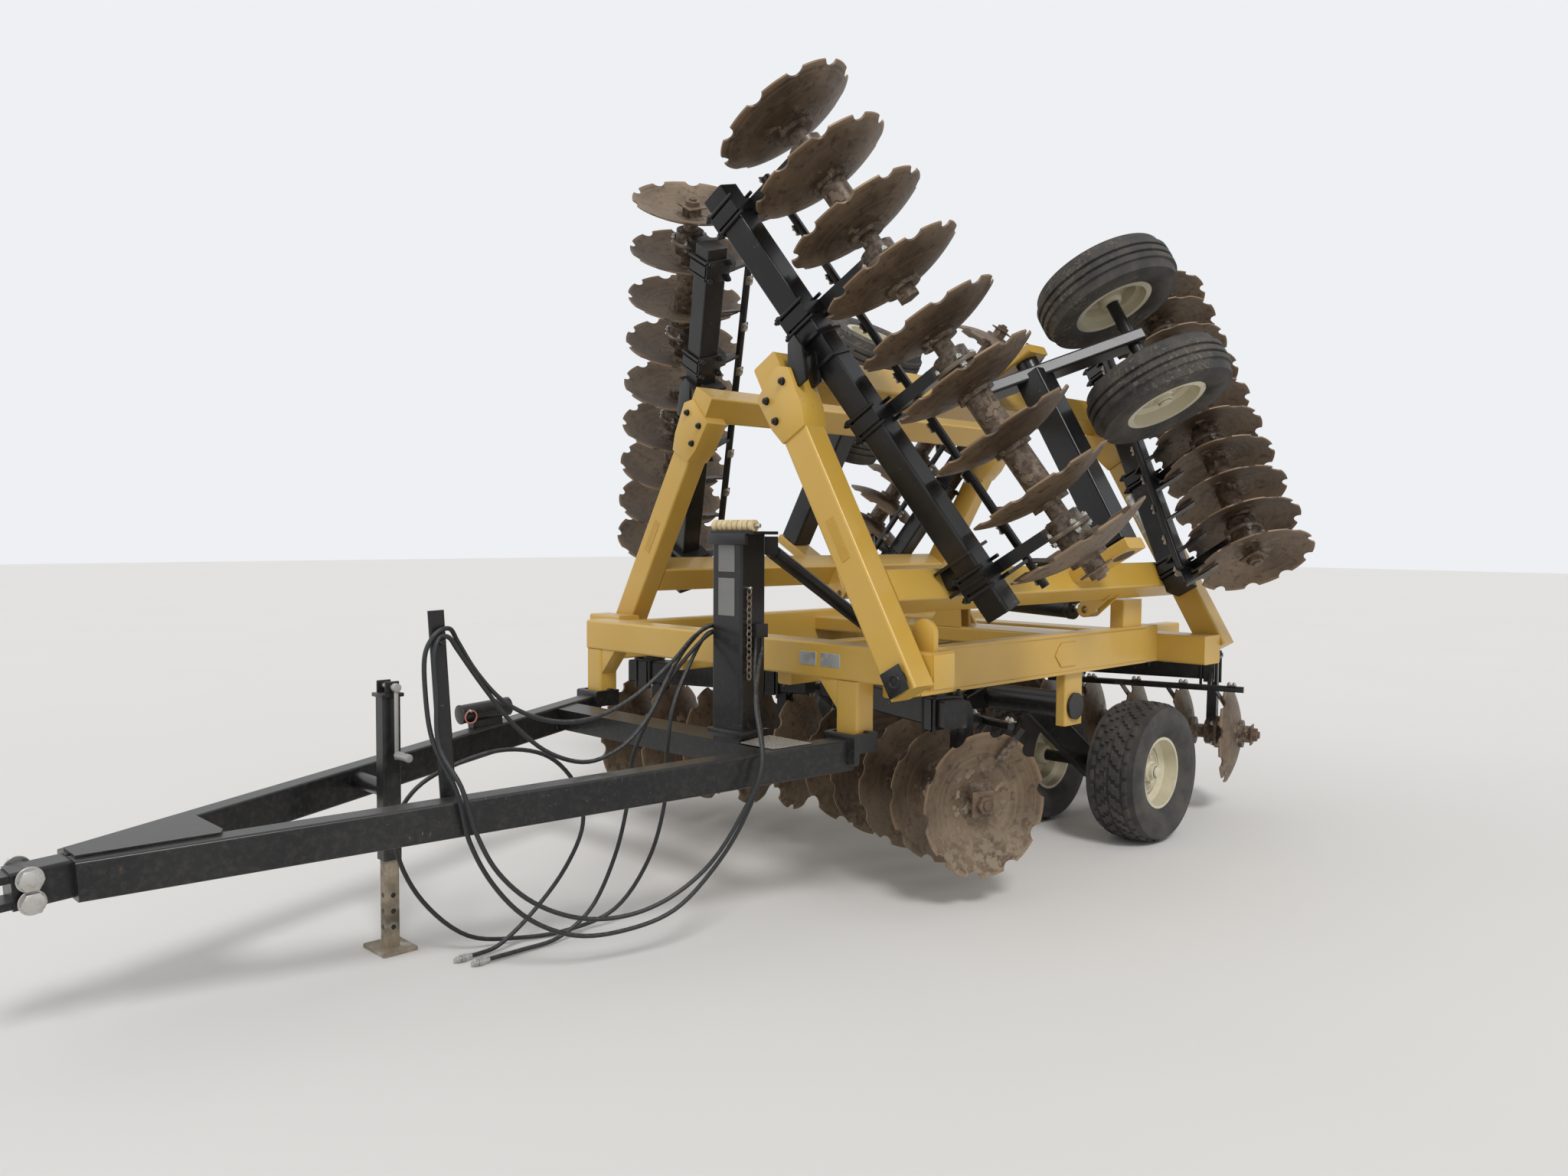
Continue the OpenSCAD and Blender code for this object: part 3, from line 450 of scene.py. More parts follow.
@dataclass(frozen=True)
class Paint:
    """Gloss paint on steel, with dust on what faces up, scuffs, runs of dirt and a little rust.

    The colours are linear red, green and blue.
    """

    name: str
    colour: Triple
    faded: Triple
    dust: Triple = (0.36, 0.30, 0.22)
    dusty: float = 0.35
    scuffed: float = 0.4
    rusty: float = 0.1
    rough: float = 0.33
    low: float = 0.9
    coat: float = 0.25
    shine: float = 0.5

    def material(self, name: str = "", near: Sequence[Gang] = ()) -> Finish:
        """Returns the paint as a material, worn bare near some gangs' shafts.

        Args:
            name: the material's name, or the paint's own if it is empty.
            near: the gangs whose blades and bearings are worn bare.

        Returns:
            The material.
        """
        g = Graph(name or self.name)
        where = g.places()
        wide = g.noise(where, 1.7, 3.0)
        fine = g.noise(where, 38.0, 5.0, 0.62)
        grain = g.noise(where, 240.0, 3.0)
        colour = g.blend(wide.ramp(0.35, 0.7), self.colour, self.faded)
        facing = g.facing()
        height = where.part("Z")
        settled = facing.ramp(0.55, 0.95) * (0.45 + fine * 0.9) * self.dusty
        near_ground = 1.0 - height.ramp(self.low - 0.6, self.low + 0.5)
        splashed = near_ground * fine.ramp(0.42, 0.72) * self.dusty * 0.9
        film = g.noise(where, 9.0, 6.0, 0.7).ramp(0.52, 0.78) * self.dusty * 0.5
        dirt = settled.high(splashed).high(film).low(0.85)
        colour = g.blend(dirt, colour, self.dust)
        scratch = self._scratches(g, where)
        colour = g.blend(scratch * self.scuffed, colour, (0.30, 0.28, 0.25))
        rust = g.noise(where, 5.5, 7.0, 0.68).ramp(0.66, 0.72) * fine.ramp(0.4, 0.6) * self.rusty * 4.0
        rust = rust.low(1.0)
        colour = g.blend(rust, colour, g.blend(fine, (0.16, 0.055, 0.02), (0.33, 0.13, 0.05)))
        for gang in near:
            away = g.away(where, gang.shaft)
            along = (where - tuple(gang.shaft.origin)).dot(tuple(gang.shaft.x))
            step = ((along - gang.disc_x(0)) * (gang.dish / gang.pitch)).fraction()
            within = 1.0 - away.ramp(gang.radius - 0.010, gang.radius + 0.045)
            blade = (1.0 - step.ramp(0.34, 0.40)) * within
            bare = blade.high(1.0 - away.ramp(0.082, 0.115))
            worn = g.blend(fine.ramp(0.35, 0.65), (0.055, 0.037, 0.026), (0.20, 0.15, 0.105))
            colour = g.blend(bare * (0.72 + wide * 0.3).low(1.0), colour, worn)
        rough = (self.rough + dirt * 0.5 + rust * 0.4 + wide * 0.06).low(0.95)
        bump = wide * 0.0006 + fine * 0.00012 + dirt * grain * 0.0006 - scratch * 0.0001
        fixed = {"Coat_Weight": self.coat, "Coat_Roughness": 0.12, "Specular_IOR_Level": self.shine}
        g.finish(colour, rough, 0.0, bump, **fixed)
        return g.material

    @staticmethod
    def _scratches(g: Graph, where: Socket) -> Socket:
        """Returns a mask of short fine scuffs in two directions.

        Args:
            g: the material's nodes.
            where: the place on the surface.

        Returns:
            The mask.
        """
        masks = []
        for stretch in ((6.0, 70.0, 22.0), (64.0, 9.0, 30.0)):
            inputs = {"Vector": where, "Scale": stretch, "Rotation": (0.4, 0.2, 0.7)}
            turned = g.node("ShaderNodeMapping", {}, inputs)
            masks.append(g.noise(turned, 1.4, 4.0, 0.6).ramp(0.67, 0.74))
        where_worn = g.noise(where, 2.6, 2.0).ramp(0.45, 0.62)
        return masks[0].high(masks[1]) * where_worn


@dataclass(frozen=True)
class WornSteel:
    """Bare steel gone brown, polished or scraped in places."""

    name: str
    dark: Triple = (0.075, 0.045, 0.03)
    light: Triple = (0.21, 0.135, 0.085)
    bright: Triple = (0.34, 0.29, 0.24)
    polish: float = 0.4
    rough: float = 0.5

    def material(self) -> Finish:
        """Returns the steel as a material."""
        g = Graph(self.name)
        where = g.places()
        wide = g.noise(where, 6.0, 5.0, 0.6)
        fine = g.noise(where, 90.0, 5.0, 0.65)
        colour = g.blend(wide.ramp(0.3, 0.7), self.dark, self.light)
        shine = g.noise(where, 14.0, 4.0).ramp(0.5, 0.7) * self.polish
        colour = g.blend(shine, colour, self.bright)
        colour = g.blend(fine.ramp(0.5, 0.8) * 0.5, colour, self.dark)
        rough = self.rough + fine * 0.25 - shine * 0.15
        g.finish(colour, rough, shine * 0.8 + 0.1, fine * 0.0003 + wide * 0.0006)
        return g.material


@dataclass(frozen=True)
class DiscSteel:
    """The steel of one gang: brown plates with lighter concentric bands, partly wear and partly painted
    highlight, mud and rusty spools.
    """

    gang: Gang

    def material(self) -> Finish:
        """Returns the gang's steel as a material."""
        gang = self.gang
        g = Graph(f"discs_{gang.name}_{gang.side.word}")
        where = g.places()
        line = gang.shaft
        away = g.away(where, line)
        along = (where - tuple(line.origin)).dot(tuple(line.x))
        wide = g.noise(where, 3.1, 4.0, 0.6)
        streak = g.noise(where, 26.0, 5.0, 0.62)
        fine = g.noise(where, 130.0, 4.0, 0.6)
        polar = g.node("ShaderNodeCombineXYZ", {}, {0: away * 60.0, 1: along * 2.0, 2: 0.0})
        polish_and_highlight_rings = g.noise(polar, 1.0, 4.0, 0.7)
        brown = g.blend(wide.ramp(0.3, 0.7), (0.090, 0.057, 0.035), (0.225, 0.158, 0.100))
        # Lighter concentric bands: partly polished wear, partly a painted highlight.
        brown = g.blend(polish_and_highlight_rings.ramp(0.45, 0.65) * 0.3, brown, (0.27, 0.23, 0.185))
        brown = g.blend(streak.ramp(0.52, 0.68) * 0.7, brown, (0.052, 0.034, 0.023))
        brown = g.blend(streak.ramp(0.36, 0.28) * 0.55, brown, (0.26, 0.135, 0.062))
        rim = away.ramp(gang.radius - 0.022, gang.radius - 0.004)
        brown = g.blend(rim * 0.6, brown, (0.30, 0.20, 0.12))
        facing = g.facing()
        mud = (1.0 - where.part("Z").ramp(0.16, 0.55)) * streak.ramp(0.44, 0.56)
        dust = facing.ramp(0.3, 1.0) * (0.15 + wide * 0.45)
        clod = g.noise(where, 19.0, 3.0, 0.5).ramp(0.56, 0.62) * (1.0 - away.ramp(0.10, 0.19))
        pale = mud.high(dust * 0.7).high(clod).low(0.95)
        colour = g.blend(pale, brown, g.blend(fine, (0.20, 0.15, 0.10), (0.34, 0.275, 0.20)))
        spool = 1.0 - away.ramp(0.088, 0.10)
        rust = g.blend(streak.ramp(0.35, 0.65), (0.075, 0.048, 0.033), (0.235, 0.185, 0.14))
        colour = g.blend(spool * (1.0 - clod) * 0.85, colour, rust)
        metal = (1.0 - pale) * 0.45
        rough = 0.44 + pale * 0.4 + fine * 0.12
        bump = streak * 0.0008 + fine * 0.0002 + pale * fine * 0.0008 + clod * 0.004
        g.finish(colour, rough, metal, bump)
        return g.material


@dataclass(frozen=True)
class Rubber:
    """Tyre rubber, greyed by dust, with mud in places."""

    name: str
    colour: Triple = (0.024, 0.024, 0.026)
    dust: Triple = (0.17, 0.15, 0.125)
    dusty: float = 0.5
    muddy: float = 0.0

    def material(self) -> Finish:
        """Returns the rubber as a material."""
        g = Graph(self.name)
        where = g.places()
        wide = g.noise(where, 7.0, 5.0, 0.6)
        fine = g.noise(where, 160.0, 4.0, 0.6)
        dust = (wide.ramp(0.3, 0.75) * 0.7 + fine * 0.25) * self.dusty
        colour = g.blend(dust, self.colour, self.dust)
        patch = g.noise(where, 3.4, 3.0).ramp(0.5, 0.62)
        mud = g.noise(where, 44.0, 6.0, 0.7).ramp(0.5, 0.58) * patch * self.muddy
        colour = g.blend(mud, colour, (0.27, 0.22, 0.165))
        g.finish(colour, 0.72 + dust * 0.25, 0.0, fine * 0.0002 + mud * 0.003)
        return g.material


@dataclass(frozen=True)
class HoseRubber:
    """The cover of a hydraulic hose: satin black with the wrap's fine marks and dust on top."""

    name: str = "hose_rubber"

    def material(self) -> Finish:
        """Returns the hose's cover as a material."""
        g = Graph(self.name)
        where = g.places()
        inputs = {"Vector": where, "Scale": 90.0, "Distortion": 2.5}
        wrap = g.node("ShaderNodeTexWave", {"wave_type": "BANDS"}, inputs)
        fine = g.noise(where, 55.0, 4.0)
        facing = g.facing()
        dust = facing.ramp(0.1, 1.0) * fine.ramp(0.35, 0.7) * 0.5
        colour = g.blend(dust, (0.016, 0.017, 0.018), (0.16, 0.145, 0.125))
        g.finish(colour, 0.42 + dust * 0.4, 0.0, wrap * 0.0002 + fine * 0.0002)
        return g.material


@dataclass(frozen=True)
class Bright:
    """Plated or polished steel: bolts, couplers, rods and plates."""

    name: str
    colour: Triple = (0.55, 0.54, 0.51)
    rough: float = 0.28
    tarnish: Triple = (0.24, 0.20, 0.15)
    tarnished: float = 0.5

    def material(self) -> Finish:
        """Returns the bright metal as a material."""
        g = Graph(self.name)
        where = g.places()
        wide = g.noise(where, 24.0, 5.0, 0.6)
        fine = g.noise(where, 260.0, 3.0)
        dull = wide.ramp(0.42, 0.72) * self.tarnished
        colour = g.blend(dull, self.colour, self.tarnish)
        rough = self.rough + dull * 0.4 + fine * 0.05
        g.finish(colour, rough, 1.0 - dull * 0.6, fine * 0.0001 + dull * 0.0002)
        return g.material


@dataclass(frozen=True)
class Reflector:
    """A strip of reflective film in small hexagonal cells."""

    name: str
    colour: Triple
    cell: float = 210.0

    def material(self) -> Finish:
        """Returns the film as a material."""
        g = Graph(self.name)
        where = g.places()
        inputs = {"Vector": where, "Scale": self.cell}
        cells = g.node("ShaderNodeTexVoronoi", {"feature": "DISTANCE_TO_EDGE"}, inputs)
        edge = 1.0 - cells.ramp(0.02, 0.09)
        shade = g.noise(where, 18.0, 3.0)
        dark = tuple(0.72 * c for c in self.colour)
        colour = g.blend(edge * 0.55, g.blend(shade, dark, self.colour), dark)
        g.finish(colour, 0.3 + shade * 0.1, 0.0, edge * 0.0001, Coat_Weight=0.6, Coat_Roughness=0.08)
        return g.material


@dataclass(frozen=True)
class StopPlastic:
    """The yellow moulded stops on the mast: a dry waxy face with fine pores."""

    name: str = "depth_stops"

    def material(self) -> Finish:
        """Returns the stops' plastic as a material."""
        g = Graph(self.name)
        where = g.places()
        wide = g.noise(where, 30.0, 4.0)
        fine = g.noise(where, 210.0, 4.0)
        colour = g.blend(wide.ramp(0.3, 0.7), (0.62, 0.47, 0.24), (0.78, 0.66, 0.42))
        colour = g.blend(fine.ramp(0.55, 0.75) * 0.5, colour, (0.34, 0.24, 0.13))
        g.finish(colour, 0.6 + fine * 0.2, 0.0, fine * 0.0003)
        return g.material


class Palette:
    """All finishes, made once each."""

    def __init__(self) -> None:
        """Makes the materials."""
        self.yellow = Paint(
            "yellow_paint", (0.60, 0.365, 0.058), (0.63, 0.40, 0.085), dusty=0.34, scuffed=0.3,
        ).material()
        self.black_paint = Paint(
            "black_paint", (0.008, 0.008, 0.009), (0.016, 0.016, 0.016), dust=(0.12, 0.108, 0.09),
            dusty=0.22, scuffed=0.5, rusty=0.05, rough=0.30, coat=0.14, shine=0.34,
        )
        self.black = self.black_paint.material()
        self.cream = Paint(
            "cream_paint", (0.72, 0.67, 0.50), (0.60, 0.55, 0.41),
            dusty=0.4, scuffed=0.3, rusty=0.28, low=0.4,
        ).material()
        self.rubber = Rubber("tyre_rubber").material()
        self.muddy = Rubber("wing_tyre_rubber", dusty=0.6, muddy=0.45).material()
        self.hose = HoseRubber().material()
        self.bright = Bright("zinc").material()
        self.rod = Bright("polished_rod", (0.72, 0.72, 0.70), 0.12, (0.42, 0.40, 0.36), 0.25).material()
        self.plate = Bright("blank_plate", (0.62, 0.62, 0.60), 0.42, (0.36, 0.35, 0.32), 0.5).material()
        self.bolt = WornSteel(
            "bolt_steel", (0.10, 0.075, 0.055), (0.24, 0.19, 0.14), (0.40, 0.36, 0.31), 0.7,
        ).material()
        self.rust = WornSteel(
            "rusty_steel", (0.085, 0.052, 0.034), (0.24, 0.165, 0.11), (0.34, 0.27, 0.20), 0.5,
        ).material()
        self.foot = WornSteel(
            "worn_foot", (0.13, 0.105, 0.075), (0.40, 0.33, 0.235), (0.52, 0.49, 0.43), 0.7,
        ).material()
        self.amber = Reflector("amber_film", (0.62, 0.34, 0.004)).material()
        self.stops = StopPlastic().material()
        self.pink = Paint(
            "lynch_ring", (0.42, 0.13, 0.10), (0.50, 0.20, 0.15), dusty=0.2, low=-2.0,
        ).material()
        self.grip = Paint(
            "step_plate", (0.15, 0.15, 0.145), (0.21, 0.21, 0.20), dusty=0.5, rough=0.6,
        ).material()
        self.grey = Paint(
            "crank_paint", (0.30, 0.30, 0.29), (0.40, 0.39, 0.37), dusty=0.3, rusty=0.3,
        ).material()


# Shaping

Test = Callable[[Vector, Vector], bool]
SMOOTH_BELOW = math.radians(35)


class Shop:
    """Ways to shape a piece with Blender's own operators, and to hand it over dressed."""

    @staticmethod
    def clear() -> None:
        """Leaves nothing selected."""
        bpy.ops.object.select_all(action="DESELECT")

    @staticmethod
    def take(obj: Piece) -> None:
        """Selects one object alone and makes it active."""
        Shop.clear()
        obj.select_set(True)
        bpy.context.view_layer.objects.active = obj

    @staticmethod
    def cylinder(r: float, low: float, high: float, sides: int = 24, axis: str = "X") -> Piece:
        """Adds a cylinder along an axis.

        Args:
            r: its radius.
            low: where it starts along the axis.
            high: where it ends.
            sides: how many sides it has.
            axis: the axis, X, Y or Z.

        Returns:
            The new object.
        """
        Shop.clear()
        middle = (low + high) / 2
        turn = {"X": (0, math.pi / 2, 0), "Y": (-math.pi / 2, 0, 0), "Z": (0, 0, 0)}[axis]
        spot = {"X": (middle, 0, 0), "Y": (0, middle, 0), "Z": (0, 0, middle)}[axis]
        bpy.ops.mesh.primitive_cylinder_add(
            vertices=sides, radius=r, depth=high - low, location=spot, rotation=turn
        )
        return Shop.settle()

    @staticmethod
    def block(size: Point, middle: Point) -> Piece:
        """Adds a box of a size about a place."""
        Shop.clear()
        bpy.ops.mesh.primitive_cube_add(size=1, location=middle, scale=size)
        return Shop.settle()

    @staticmethod
    def ring(major: float, minor: float, axis: str = "X", sides: int = 28, around: int = 10) -> Piece:
        """Adds a torus about an axis.

        Args:
            major: the ring's radius.
            minor: the radius of its bar.
            axis: the axis, X, Y or Z.
            sides: steps round the ring.
            around: steps round the bar.

        Returns:
            The new object.
        """
        Shop.clear()
        turn = {"X": (0, math.pi / 2, 0), "Y": (math.pi / 2, 0, 0), "Z": (0, 0, 0)}[axis]
        bpy.ops.mesh.primitive_torus_add(
            major_radius=major, minor_radius=minor, major_segments=sides, minor_segments=around,
            rotation=turn,
        )
        return Shop.settle()

    @staticmethod
    def settle() -> Piece:
        """Puts the active object's place into its mesh and returns it."""
        bpy.ops.object.transform_apply(location=True, rotation=True, scale=True)
        return bpy.context.view_layer.objects.active

    @staticmethod
    def pick(obj: Piece, mode: str, test: Test) -> None:
        """Selects faces, edges or points of a mesh by place and direction.

        Args:
            obj: the piece.
            mode: FACE, EDGE or VERT.
            test: says of a middle and a direction whether it is picked.
        """
        mesh = obj.data
        for group in (mesh.vertices, mesh.edges, mesh.polygons):
            group.foreach_set("select", [False] * len(group))
        if mode == "FACE":
            for face in mesh.polygons:
                face.select = test(face.center, face.normal)
        elif mode == "EDGE":
            for edge in mesh.edges:
                a, b = (mesh.vertices[i].co for i in edge.vertices)
                edge.select = test((a + b) / 2, (b - a).normalized())
        else:
            for vertex in mesh.vertices:
                vertex.select = test(vertex.co, vertex.normal)

    @staticmethod
    def edit(obj: Piece, mode: str, test: Test, *steps: Callable[[], object]) -> None:
        """Runs operators in edit mode on what a test picks.

        Args:
            obj: the piece.
            mode: FACE, EDGE or VERT.
            test: says of a middle and a direction whether it is picked.
            steps: the operators, in order.
        """
        Shop.take(obj)
        Shop.pick(obj, mode, test)
        bpy.ops.object.mode_set(mode="EDIT")
        bpy.ops.mesh.select_mode(type=mode)
        for step in steps:
            step()
        bpy.ops.object.mode_set(mode="OBJECT")

    @staticmethod
    def inset(depth: float, thickness: float) -> Callable[[], object]:
        """Returns a step that insets the picked faces and moves them in or out."""
        return lambda: bpy.ops.mesh.inset(thickness=thickness, depth=depth)

    @staticmethod
    def extrude(x: float, y: float, z: float) -> Callable[[], object]:
        """Returns a step that extrudes the picked region along a vector."""
        return lambda: bpy.ops.mesh.extrude_region_move(TRANSFORM_OT_translate={"value": (x, y, z)})

    @staticmethod
    def resize(x: float, y: float, z: float) -> Callable[[], object]:
        """Returns a step that scales what is picked about its own middle."""
        return lambda: bpy.ops.transform.resize(value=(x, y, z))

    @staticmethod
    def bevel(obj: Piece, width: float, segments: int = 2, angle: float = 35.0) -> Piece:
        """Rounds a piece's sharp edges and returns it.

        Args:
            obj: the piece.
            width: how wide the rounding is.
            segments: its steps.
            angle: edges sharper than this many degrees are rounded.

        Returns:
            The piece.
        """
        Shop.take(obj)
        made = obj.modifiers.new("round", "BEVEL")
        made.width = width
        made.segments = segments
        made.limit_method = "ANGLE"
        made.angle_limit = math.radians(angle)
        bpy.ops.object.modifier_apply(modifier=made.name)
        return obj

    @staticmethod
    def outline(points: Sequence[Point], depth: float, plane: str = "YZ", start: float = 0.0) -> Piece:
        """Makes a plate of an outline, from a disc whose points are moved to it.

        Args:
            points: the outline's corners in order, in the plane's two directions.
            depth: the plate's thickness, along the third direction.
            plane: the plane of the outline, YZ, XZ or XY.
            start: where the plate starts along the third direction.

        Returns:
            The plate.
        """
        Shop.clear()
        bpy.ops.mesh.primitive_circle_add(vertices=len(points), radius=1.0, fill_type="NGON")
        obj = bpy.context.view_layer.objects.active
        for vertex, (a, b) in zip(obj.data.vertices, points):
            vertex.co = {"YZ": (start, a, b), "XZ": (a, start, b), "XY": (a, b, start)}[plane]
        step = {"YZ": (depth, 0, 0), "XZ": (0, depth, 0), "XY": (0, 0, depth)}[plane]
        Shop.edit(obj, "FACE", lambda c, n: True, Shop.extrude(*step))
        return Shop.outward(obj)

    @staticmethod
    def lathe(profile: Sequence[Point], steps: int, axis: str = "X", closed: bool = True) -> Piece:
        """Spins a profile about an axis.

        Args:
            profile: the outline, as pairs of place along the axis and radius.
            steps: how many steps the turn has.
            axis: the axis, X, Y or Z.
            closed: whether the outline returns to its start.

        Returns:
            The turned piece.
        """
        Shop.clear()
        bpy.ops.mesh.primitive_circle_add(vertices=len(profile), radius=1.0, fill_type="NOTHING")
        obj = bpy.context.view_layer.objects.active
        for vertex, (a, r) in zip(obj.data.vertices, profile):
            vertex.co = {"X": (a, 0, r), "Y": (r, a, 0), "Z": (0, r, a)}[axis]
        if not closed:
            last = len(profile) - 1
            ends = (obj.data.vertices[0].co + obj.data.vertices[last].co) / 2
            Shop.edit(
                obj, "EDGE", lambda c, n: (c - ends).length < 1e-7, lambda: bpy.ops.mesh.delete(type="EDGE")
            )
        line = {"X": (1, 0, 0), "Y": (0, 1, 0), "Z": (0, 0, 1)}[axis]
        Shop.edit(
            obj, "VERT", lambda c, n: True,
            lambda: bpy.ops.mesh.spin(steps=steps, angle=math.tau, center=(0, 0, 0), axis=line),
            lambda: bpy.ops.mesh.select_all(action="SELECT"),
            lambda: bpy.ops.mesh.remove_doubles(threshold=1e-5),
        )
        return Shop.outward(obj)

    @staticmethod
    def outward(obj: Piece) -> Piece:
        """Turns all faces outward and returns the piece."""
        Shop.edit(obj, "FACE", lambda c, n: True, lambda: bpy.ops.mesh.normals_make_consistent(inside=False))
        return obj

    @staticmethod
    def hexagon(across: float, low: float, high: float, axis: str = "X") -> Piece:
        """Makes a nut or a bolt's head, its corners turned down.

        Args:
            across: its width across corners, halved.
            low: where it starts along its axis.
            high: where it ends.
            axis: its axis.

        Returns:
            The nut.
        """
        obj = Shop.cylinder(across, low, high, 6, axis)
        index = "XYZ".index(axis)
        deep = 0.12 * across
        Shop.edit(obj, "FACE", lambda c, n: n[index] > 0.9, Shop.inset(deep * 0.6, deep))
        return obj

    @staticmethod
    def bolt(r: float, head: float, stem: float, axis: str = "X") -> Piece:
        """Makes a bolt's end that stands out: a washer, a nut and the stem's tip, from 0 along its axis."""
        washer = Shop.bevel(Shop.cylinder(r * 2.3, 0.0, r * 0.35, 20, axis), r * 0.1, 1)
        nut = Shop.hexagon(r * 1.95, r * 0.35, r * 0.35 + head, axis)
        tip = Shop.bevel(Shop.cylinder(r, r * 0.3 + head, r * 0.35 + head + stem, 14, axis), r * 0.2, 1)
        return Shop.join("bolt", [washer, nut, tip])

    @staticmethod
    def put(obj: Piece, frame: Frame) -> Piece:
        """Moves a piece's mesh from a frame to the machine and returns the piece."""
        matrix = frame.matrix()
        obj.data.transform(matrix)
        if matrix.determinant() < 0:
            Shop.edit(obj, "FACE", lambda c, n: True, lambda: bpy.ops.mesh.flip_normals())
        return obj

    @staticmethod
    def copy(obj: Piece, frame: Frame) -> Piece:
        """Returns a copy of a piece, with its own mesh, put in a frame."""
        made = obj.copy()
        made.data = obj.data.copy()
        bpy.context.scene.collection.objects.link(made)
        return Shop.put(made, frame)

    @staticmethod
    def spread(obj: Piece, frames: Iterable[Frame]) -> list[Piece]:
        """Returns copies of a piece in each frame, and removes the piece itself."""
        made = [Shop.copy(obj, frame) for frame in frames]
        Shop.drop(obj)
        return made

    @staticmethod
    def drop(*pieces: Piece) -> None:
        """Removes objects."""
        for piece in pieces:
            bpy.data.objects.remove(piece, do_unlink=True)

    @staticmethod
    def join(name: str, pieces: Sequence[Piece]) -> Piece:
        """Joins pieces into one under a name and returns it.

        Args:
            name: the joined piece's name.
            pieces: what is joined, in order.

        Returns:
            The joined piece.
        """
        Shop.clear()
        for piece in pieces:
            piece.select_set(True)
        bpy.context.view_layer.objects.active = pieces[0]
        if len(pieces) > 1:
            bpy.ops.object.join()
        pieces[0].name = name
        pieces[0].data.name = name
        return pieces[0]

    @staticmethod
    def fit(name: str, pieces: Sequence[Piece], body: str, slot: str, finish: Finish) -> Piece:
        """Joins pieces, dresses them and lets them ride on a body.

        Args:
            name: the joined piece's name.
            pieces: what is joined, in order.
            body: the body that carries it.
            slot: the record's material slot; not used.
            finish: its finish.

        Returns:
            The joined piece.
        """
        obj = Shop.join(name, pieces)
        obj.data.materials.clear()
        obj.data.materials.append(finish)
        Shop.take(obj)
        bpy.ops.object.shade_smooth_by_angle(angle=SMOOTH_BELOW)
        Shop.clear()
        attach(obj, body)
        LOG.info("%s: %d faces on %s", obj.name, len(obj.data.polygons), body)
        return obj


def aligned(origin: Vector, x: Vector, up: Vector = Vector((0, 0, 1))) -> Frame:
    """Returns a frame at a place whose X points along a direction and whose Z leans towards up."""
    ex = x.normalized()
    ey = up.cross(ex).normalized()
    return Frame(origin, ex, ey, ex.cross(ey))


# Camera and hoses


@dataclass(frozen=True)
class View:
    """The photograph's viewpoint."""

    place: Triple = (4.330, -4.1016, 1.698)
    yaw: float = 45.164
    pitch: float = -2.722
    roll: float = 0.335
    focal: float = 1523.22
    width: float = 2048.0

    def build(self) -> None:
        """Adds the camera."""
        data = bpy.data.cameras.new("photo_view")
        data.sensor_width = 36.0
        data.lens = 36.0 * self.focal / self.width
        data.clip_end = 200.0
        camera = bpy.data.objects.new("photo_view", data)
        bpy.context.scene.collection.objects.link(camera)
        yaw, pitch, roll = (math.radians(v) for v in (self.yaw, self.pitch, self.roll))
        ahead = Vector((-math.sin(yaw) * math.cos(pitch), math.cos(yaw) * math.cos(pitch), math.sin(pitch)))
        right = ahead.cross(Vector((0, 0, 1))).normalized()
        up = right.cross(ahead)
        turned = right * math.cos(roll) + up * math.sin(roll)
        level = up * math.cos(roll) - right * math.sin(roll)
        camera.matrix_world = Frame(Vector(self.place), turned, level, -ahead).matrix()
        bpy.context.scene.camera = camera


HoseRoute = tuple[Triple, ...]


